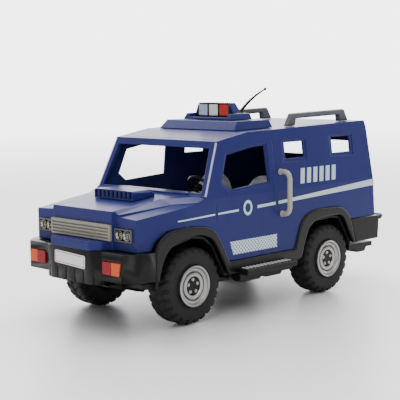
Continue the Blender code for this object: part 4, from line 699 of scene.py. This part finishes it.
def side_patch(name, outline, finish, side, lift=DECAL_LIFT):
    """A thin sticker that follows the side of the body, given as a side outline."""
    bm = bmesh.new()
    bm.faces.new([bm.verts.new((0, y, z)) for y, z in outline])
    for spot, across in (((0, TAPER_START_Y, 0), (0, 1, 0)), ((0, 0, WAIST_Z), (0, 0, 1))):
        bmesh.ops.bisect_plane(
            bm, geom=bm.verts[:] + bm.edges[:] + bm.faces[:], plane_co=spot, plane_no=across)
    for vert in bm.verts:
        vert.co.x = side * (side_x(vert.co.y, vert.co.z) + DECAL_BACK)
    made = bmesh.ops.extrude_face_region(bm, geom=bm.faces[:])
    for item in made["geom"]:
        if isinstance(item, bmesh.types.BMVert):
            item.co.x += side * (lift - DECAL_BACK)
    mesh_piece(name, bm, finish, "chassis")


def height_at(points, y):
    """Height of a line of (y, z) points."""
    for (y0, z0), (y1, z1) in zip(points, points[1:]):
        if y <= y1 or (y1, z1) == points[-1]:
            return z0 + (z1 - z0) * (y - y0) / (y1 - y0)


def decals(finishes):
    """Tapering stripe, plain roundel, slanted bars and a hatched kick panel."""
    pale = finishes["decal_pale"]
    for side, word in SIDES:
        for k, (front, rear) in enumerate(STRIPE_RUNS):
            outline = [(y, height_at(edge, y)) for y, edge in (
                (front, STRIPE_LOWER), (rear, STRIPE_LOWER), (rear, STRIPE_UPPER),
                (front, STRIPE_UPPER))]
            side_patch(f"stripe_{word}_{k}", outline, pale, side)
        half_y, half_z = ROUNDEL_HALF
        ring, inner = [
            [(ROUNDEL[0] + share * half_y * a, ROUNDEL[1] + share * half_z * b)
             for a, b in circle(1, ROUNDEL_STEPS)] for share in (1, ROUNDEL_HOLE)]
        side_patch(f"roundel_{word}", ring, pale, side)
        side_patch(f"roundel_centre_{word}", inner, finishes["body_blue"], side,
                   lift=DECAL_SECOND_LIFT)
        pitch = (BARS_Y[1] - BARS_Y[0]) / BAR_COUNT
        low, high = BARS_Z
        for k in range(BAR_COUNT):
            front = BARS_Y[0] + k * pitch
            rear = front + pitch * BAR_SHARE
            outline = [(front, low), (rear, low),
                       (rear + BAR_SLANT, high), (front + BAR_SLANT, high)]
            side_patch(f"bar_{word}_{k}", outline, pale, side)
        side_patch(f"kick_panel_{word}", KICK_PANEL, finishes["hatched"], side)


# Front, sides and roof

def cladding(finish):
    """Sill and curved, round-edged wheel-arch flares of each side."""
    curves = []
    for points, wheel_y in ((FRONT_ARCH_INNER, FRONT_WHEEL_Y), (REAR_ARCH_INNER, REAR_WHEEL_Y),
                            (REAR_ARCH_OUTER, REAR_WHEEL_Y), (FRONT_ARCH_OUTER, FRONT_WHEEL_Y)):
        curves.append([(wheel_y + y, z) for y, z in smooth_line(points)])
    front_in, rear_in, rear_out, front_out = curves
    outline = front_in + rear_in + rear_out[::-1] + front_out[::-1]
    outline.append((front_out[0][0], front_in[0][1]))
    for side, word in SIDES:
        piece = side_plate(f"cladding_{word}", [side * x for x in FLARE_X], outline, finish)
        bevelled(piece, FLARE_EDGE, 5)
        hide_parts(f"side_cladding_{word}")


def arch_liners(finish):
    """Curved liner behind each wheel-arch flare, near-black as painted shade inside the arch."""
    for end, points, wheel_y in (("front", FRONT_ARCH_INNER, FRONT_WHEEL_Y),
                                 ("rear", REAR_ARCH_INNER, REAR_WHEEL_Y)):
        centre = Vector((0, wheel_y, TYRE_R))
        for side, word in SIDES:
            rows = []
            for y, z in smooth_line(points):
                point = Vector((0, wheel_y + y, z))
                near = point + (point - centre).normalized() * LINER_OUT
                far = near + (near - centre).normalized() * LINER_THICK
                rows.append([(side * LINER_X[k], p.y, p.z)
                             for k, p in ((0, near), (1, near), (1, far), (0, far))])
            bm = bmesh.new()
            skin(bm, rows)
            mesh_piece(f"arch_liner_{end}_{word}", bm, finish, "chassis",
                       smooth=True)


def front_frame(name, low, high, rim, depth, finish):
    """Rectangular frame facing forward, between two corners of (x, z) and two values of y."""
    (x0, z0), (x1, z1) = low, high
    front, back = depth
    rows = []
    for y, inset in ((back, 0), (front, 0), (front, rim), (back, rim)):
        rows.append([(x0 + inset, y, z0 + inset), (x1 - inset, y, z0 + inset),
                     (x1 - inset, y, z1 - inset), (x0 + inset, y, z1 - inset)])
    bm = bmesh.new()
    skin(bm, rows, loop=True)
    return mesh_piece(name, bm, finish, "chassis")


def headlights(finishes):
    """Bezel, dark floor and two polished bowls in each headlight."""
    rim = HEADLIGHT_RIM
    floor_rim, floor_thick = BEZEL_FLOOR
    for _, word in SIDES:
        low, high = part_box(f"headlight_{word}")
        front, back = low.y, high.y
        piece = front_frame(f"bezel_{word}", (low.x, low.z), (high.x, high.z), rim, (front, back),
                            finishes["bezel_grey"])
        bevelled(piece, BEZEL_EDGE, 2)
        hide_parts(f"headlight_{word}")
        front_frame(f"bezel_floor_{word}", (low.x + rim, low.z + rim),
                    (high.x - rim, high.z - rim), floor_rim, (back - floor_thick, back),
                    finishes["dark_plastic"])
        middle_z = (low.z + high.z) / 2
        for k, share in enumerate(BOWL_SHARES):
            x = low.x + (high.x - low.x) * share
            bm = bmesh.new()
            skin(bm, [[(x + a, front + y, middle_z + b) for a, b in circle(r, BOWL_STEPS)]
                      for r, y in BOWL_PROFILE])
            mesh_piece(f"bowl_{word}_{k}", bm, finishes["chrome"], "chassis",
                       smooth=True)


def number_plate(finishes):
    """Bare raised plate with a thin dark line inside its edge."""
    half_x, half_z = PLATE_HALF
    turn = Matrix.Rotation(PLATE_TURN, 4, "Y")
    place = Matrix.Translation((0, BUMPER_FACE_Y, PLATE_CENTRE_Z)) @ turn
    cut = PLATE_CUT
    outline = [(half_x - cut, -half_z), (half_x, -half_z + cut), (half_x, half_z - cut),
               (half_x - cut, half_z)]
    outline += [(-x, z) for x, z in reversed(outline)]
    bm = bmesh.new()
    skin(bm, [[(x, y, z) for x, z in outline] for y in (0.0, -PLATE_THICK)])
    bmesh.ops.transform(bm, matrix=place, verts=bm.verts)
    piece = mesh_piece("plate", bm, finishes["plate_white"], "chassis")
    bevelled(piece, PLATE_ROUND, 2)
    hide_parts("number_plate")
    inset, width = PLATE_LINE
    line = front_frame("plate_line", (-half_x + inset, -half_z + inset),
                       (half_x - inset, half_z - inset), width, PLATE_LINE_Y,
                       finishes["dark_plastic"])
    line.data.transform(place)


def pillar_highlight_beads(finish):
    """Slim rounded bead along the outer corner of each windscreen pillar, pale as a painted
    highlight.
    """
    for side, word in SIDES:
        foot, top = [Vector((side * (x - BEAD_SUNK), y + BEAD_SUNK, z)) for x, y, z in PILLAR_EDGE]
        route = [foot.lerp(top, share) for share, _ in BEAD_LINE]
        radii = [BEAD_R * size for _, size in BEAD_LINE]
        tube(f"pillar_bead_{word}", route, radii, finish, "chassis")


def antenna(finish):
    """Whip antenna that thins towards its ball tip."""
    low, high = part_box("antenna")
    body = NODES["antenna"]["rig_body"]
    foot = [v.co.y for v in NODES["antenna"].data.vertices if v.co.z < low.z + WHIP_FOOT_BAND]
    x, foot_y = (low.x + high.x) / 2, sum(foot) / len(foot)
    tip = Vector((x, high.y - TIP_INSET, high.z - TIP_INSET))
    start = Vector((x, foot_y, low.z + WHIP_START))
    control = Vector((x, foot_y + (tip.y - foot_y) * WHIP_BEND[0],
                      start.z + (tip.z - start.z) * WHIP_BEND[1]))
    route = [Vector((x, foot_y, low.z)), Vector((x, foot_y, low.z + WHIP_FOOT_TOP))]
    radii = list(WHIP_FOOT_R)
    for i in range(WHIP_STEPS + 1):
        share = i / WHIP_STEPS
        route.append(start.lerp(control, share).lerp(control.lerp(tip, share), share))
        radii.append(WHIP_R[0] - (WHIP_R[0] - WHIP_R[1]) * share)
    piece = tube("whip", route, radii, finish, body)
    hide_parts("antenna")
    turns = [math.pi * i / TIP_STEPS for i in range(TIP_STEPS + 1)]
    route = [tip + Vector((0, 0, -TIP_R * math.cos(turn))) for turn in turns]
    radii = [max(TIP_R * math.sin(turn), TIP_POLE_R) for turn in turns]
    tube("whip_tip", route, radii, finish, body)


def roof_rails(finish):
    """Roof rails with rounded bars and sloped feet."""
    for _, word in SIDES:
        node = f"roof_rail_{word}"
        low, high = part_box(node)
        verts = [v.co for v in NODES[node].data.vertices]
        front_z = min(v.z for v in verts if v.y < low.y + RAIL_END_BAND)
        rear_z = min(v.z for v in verts if v.y > high.y - RAIL_END_BAND)
        slope = (rear_z - front_z) / (high.y - low.y)
        rise = max(v.z - (front_z + slope * (v.y - low.y)) for v in verts)
        under = rise - RAIL_THICK
        front_foot, rear_foot = low.y + RAIL_FOOT[0], high.y - RAIL_FOOT[1]
        route = [
            (low.y, 0), (low.y + RAIL_LEAN, rise), (high.y - RAIL_LEAN, rise), (high.y, 0),
            (rear_foot, 0), (rear_foot - RAIL_INNER_LEAN[1], under),
            (front_foot + RAIL_INNER_LEAN[0], under), (front_foot, 0)]
        outline = [(y, front_z + slope * (y - low.y) + z) for y, z in route]
        piece = side_plate(f"rail_{word}", (low.x, high.x), outline, finish,
                           NODES[node]["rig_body"])
        bevelled(piece, RAIL_EDGE, 3, angle=ROUND_RAIL)
        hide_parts(node)


def handle_feet(finish):
    """Round foot under each end of the grab handles."""
    for side, word in SIDES:
        node = f"grab_handle_{word}"
        low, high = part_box(node)
        verts = [v.co for v in NODES[node].data.vertices]
        for k, z in enumerate((low.z + HANDLE_R, high.z - HANDLE_R)):
            near = [v.y for v in verts if abs(v.z - z) < HANDLE_END_BAND]
            y = sum(near) / len(near)
            x = side_x(y, z) + FOOT_LIFT
            route = [(side * (x + FOOT_THICK * share), y, z) for share, _ in FOOT_LINE]
            radii = [FOOT_R * size for _, size in FOOT_LINE]
            tube(f"handle_foot_{word}_{k}", route, radii, finish, NODES[node]["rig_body"],
                 steps=FOOT_STEPS)


# Step boards, rear step and seats

def board_ribs(finish):
    """Grip ribs across the top of each step board, pale as a painted highlight on the dark knurled
    plastic.
    """
    half, rise = BOARD_RIB
    for side, word in SIDES:
        low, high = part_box(f"running_board_{word}")
        count = int((high.y - low.y - BOARD_RIB_MARGIN) / BOARD_RIB_PITCH) + 1
        start = (low.y + high.y - (count - 1) * BOARD_RIB_PITCH) / 2
        bm = bmesh.new()
        for k in range(count):
            y = start + k * BOARD_RIB_PITCH
            rows = []
            for size, z in ((1.0, BOARD_TOP_Z), (BOARD_RIB_TOP, BOARD_TOP_Z + rise)):
                trim = (1 - size) * half
                inner, outer = side * (BOARD_RIB_X[0] + trim), side * (BOARD_RIB_X[1] - trim)
                rows.append([(x, y + j * half * size, z)
                             for x, j in ((inner, -1), (outer, -1), (outer, 1), (inner, 1))])
            skin(bm, rows)
        mesh_piece(f"board_ribs_{word}", bm, finish, "chassis")


def side_beams(finish):
    """Stepped beam of the underframe below each step board."""
    for side, word in SIDES:
        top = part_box(f"running_board_{word}")[0].z + BEAM_SUNK
        outline = BEAM_LINE + [(BEAM_LINE[-1][0], top), (BEAM_LINE[0][0], top)]
        piece = side_plate(f"side_beam_{word}", [side * x for x in BEAM_X], outline, finish)
        bevelled(piece, PLATE_EDGE, 2)


def step_bar(finish):
    """Round grip bar along the end of the rear step."""
    low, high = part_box("rear_step")
    y, z = high.y - STEP_BAR_R, high.z - STEP_BAR_R * 0.5
    middle, half = (high.x + low.x) / 2, (high.x - low.x) / 2 - STEP_BAR_INSET
    tube("step_bar", [(middle + half * across, y, z) for across, _ in STEP_BAR_LINE],
         [STEP_BAR_R * share for _, share in STEP_BAR_LINE], finish, "chassis")


def step_brackets(finish):
    """Upright bracket below each end of the rear step."""
    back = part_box("rear_bumper")[1].y
    low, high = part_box("rear_step")
    front, rear = [back + y for y in BRACKET_Y]
    foot, head = low.z - BRACKET_DROP, high.z - STEP_BAR_R * 2
    for side, word in SIDES:
        reach = [side * (high.x - inset) for inset in BRACKET_X]
        piece = side_plate(f"step_bracket_{word}", reach,
                           [(front, foot), (rear, foot), (rear, head), (front, head)], finish)
        bevelled(piece, PLATE_EDGE, 2)


def seats(finish):
    """Moulded bucket seats with domed backs."""
    middle_y, middle_z = SEAT_MIDDLE
    for _, word in SIDES:
        node = f"seat_{word}"
        low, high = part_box(node)
        middle, half = (low.x + high.x) / 2, (high.x - low.x) / 2
        rows = []
        for u, size in SEAT_STATIONS:
            row = []
            for y, z in SEAT_PROFILE:
                if z > SEAT_CUSHION_Z + SEAT_DOME_START:
                    up = (z - SEAT_CUSHION_Z) / (SEAT_TOP_Z - SEAT_CUSHION_Z)
                    z -= SEAT_DOME * u ** 4 * up
                if z > SEAT_PLINTH_Z:
                    y = middle_y + (y - middle_y) * size
                    z = middle_z + (z - middle_z) * size
                row.append((middle + half * u, y, z))
            rows.append(row)
        bm = bmesh.new()
        skin(bm, rows)
        piece = mesh_piece(f"bucket_{word}", bm, finish, "chassis")
        form = piece.modifiers.new("smooth_form", "SUBSURF")
        form.levels = form.render_levels = 2
        piece.data.shade_smooth()
        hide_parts(node)


# Studio and camera

def wall_strength(nodes, links, direction):
    """How bright the studio is towards a direction."""
    facing = nodes.new("ShaderNodeVectorMath")
    facing.operation = "DOT_PRODUCT"
    facing.inputs[1].default_value = Vector(WALL_DIRECTION).normalized()
    links.new(direction, facing.inputs[0])
    return mapped(nodes, links, facing.outputs["Value"], WALL_SPREAD,
                  (ROOM_STRENGTH, WALL_STRENGTH))


def backdrop(tree):
    """A bright wall behind the car and a dimmer room on the camera's side."""
    nodes, links = tree.nodes, tree.links
    place = nodes.new("ShaderNodeTexCoord")
    strength = wall_strength(nodes, links, place.outputs["Generated"])
    nodes["Background"].inputs["Color"].default_value = WALL_COLOR
    links.new(strength, nodes["Background"].inputs["Strength"])


def floor_paper():
    """Pale paper with painted shade near the car, that fades into the wall's brightness far from
    it.
    """
    made, nodes, links, shader = new_material("floor_paper")
    place, paper = mottled_color(nodes, links, PAPER, PAPER_SPREAD, PAPER_DRIFT)
    shader.inputs["Roughness"].default_value = PAPER_ROUGH
    shader.inputs["Specular IOR Level"].default_value = PAPER_SHINE
    # painted shade: the paper's colour is darkened by ambient occlusion near the car, as a painted
    # contact shadow
    contact = nodes.new("ShaderNodeAmbientOcclusion")
    contact.inputs["Distance"].default_value = CONTACT_SHADE_REACH
    shade = nodes.new("ShaderNodeMix")
    shade.data_type = "RGBA"
    shade.blend_type = "MULTIPLY"
    shade.inputs["Factor"].default_value = CONTACT_SHADE_DEPTH
    links.new(paper, shade.inputs["A"])
    links.new(contact.outputs["Color"], shade.inputs["B"])
    links.new(shade.outputs["Result"], shader.inputs["Base Color"])
    away = nodes.new("ShaderNodeVectorMath")
    away.operation = "NORMALIZE"
    links.new(place.outputs["Object"], away.inputs[0])
    glow = nodes.new("ShaderNodeEmission")
    glow.inputs["Color"].default_value = WALL_COLOR
    links.new(wall_strength(nodes, links, away.outputs["Vector"]), glow.inputs["Strength"])
    reach = nodes.new("ShaderNodeVectorMath")
    reach.operation = "LENGTH"
    links.new(place.outputs["Object"], reach.inputs[0])
    mix = nodes.new("ShaderNodeMixShader")
    links.new(mapped(nodes, links, reach.outputs["Value"], FLOOR_FADE), mix.inputs["Fac"])
    links.new(shader.outputs["BSDF"], mix.inputs[1])
    links.new(glow.outputs["Emission"], mix.inputs[2])
    links.new(mix.outputs["Shader"], nodes["Material Output"].inputs["Surface"])
    return made


def studio():
    """Pale floor, soft box lights and a bright room."""
    bm = bmesh.new()
    bmesh.ops.create_grid(bm, x_segments=1, y_segments=1, size=FLOOR_HALF)
    floor = linked("floor", mesh_from("floor", bm))
    floor.location.z = FLOOR_Z
    floor.data.materials.append(floor_paper())
    world = bpy.data.worlds.new("studio")
    bpy.context.scene.world = world
    world.use_nodes = True
    backdrop(world.node_tree)
    for name, spot, size, power in LIGHTS:
        light = bpy.data.lights.new(name, "AREA")
        light.shape = "RECTANGLE"
        light.size, light.size_y = size
        light.energy = power
        lamp = linked(name, light)
        lamp.location = spot
        lamp.rotation_euler = (LIT_SPOT - Vector(spot)).to_track_quat("-Z", "Y").to_euler()


def camera():
    """Camera at the photograph's place, fitted to the wheels and the body's corners."""
    a, e = CAMERA_AZIMUTH, CAMERA_ELEVATION
    back = Vector((math.sin(a) * math.cos(e), -math.cos(a) * math.cos(e), math.sin(e)))
    level = Vector((math.cos(a), math.sin(a), 0))
    up = back.cross(level)
    c, s = math.cos(CAMERA_ROLL), math.sin(CAMERA_ROLL)
    axes = (level * c + up * s, up * c - level * s, back)
    spot = Vector((0, 0, CAMERA_TARGET_Z)) + back * CAMERA_DISTANCE + level * CAMERA_SIDE
    view = bpy.data.cameras.new("camera")
    view.lens = CAMERA_LENS
    view.sensor_width = CAMERA_SENSOR
    view.clip_start = CAMERA_CLIP
    eye = linked("camera", view)
    eye.matrix_world = Matrix.Translation(spot) @ Matrix(axes).transposed().to_4x4()
    bpy.context.scene.camera = eye


finishes = make_materials()
dress_nodes(finishes)
wheels(finishes)
decals(finishes)
cladding(finishes["flare_plastic"])
headlights(finishes)
number_plate(finishes)
pillar_highlight_beads(finishes["pillar_highlight_pale"])
antenna(finishes["dark_plastic"])
roof_rails(finishes["grey_plastic"])
board_ribs(finishes["tread_highlight_grey"])
arch_liners(finishes["liner_shade_black"])
side_beams(finishes["dark_plastic"])
step_bar(finishes["grey_plastic"])
step_brackets(finishes["dark_plastic"])
handle_feet(finishes["silver"])
seats(finishes["seat_grey"])
for _, side_word in SIDES:
    softened(f"red_lamp_{side_word}", LAMP_EDGE, finishes["marker_red"])
    softened(f"orange_lamp_{side_word}", LAMP_EDGE, finishes["marker_orange"])
for node_name, edge_width in SOFT_EDGES:
    softened(node_name, edge_width, finishes[SLOT_OF[node_name]])
smoothed("front_bumper", SHARP_BUMPER, finishes["dark_plastic"])
NODES["grille"].data.materials[0] = finishes["champagne"]
NODES["dashboard"].data.materials[0] = finishes["grey_plastic"]
studio()
camera()
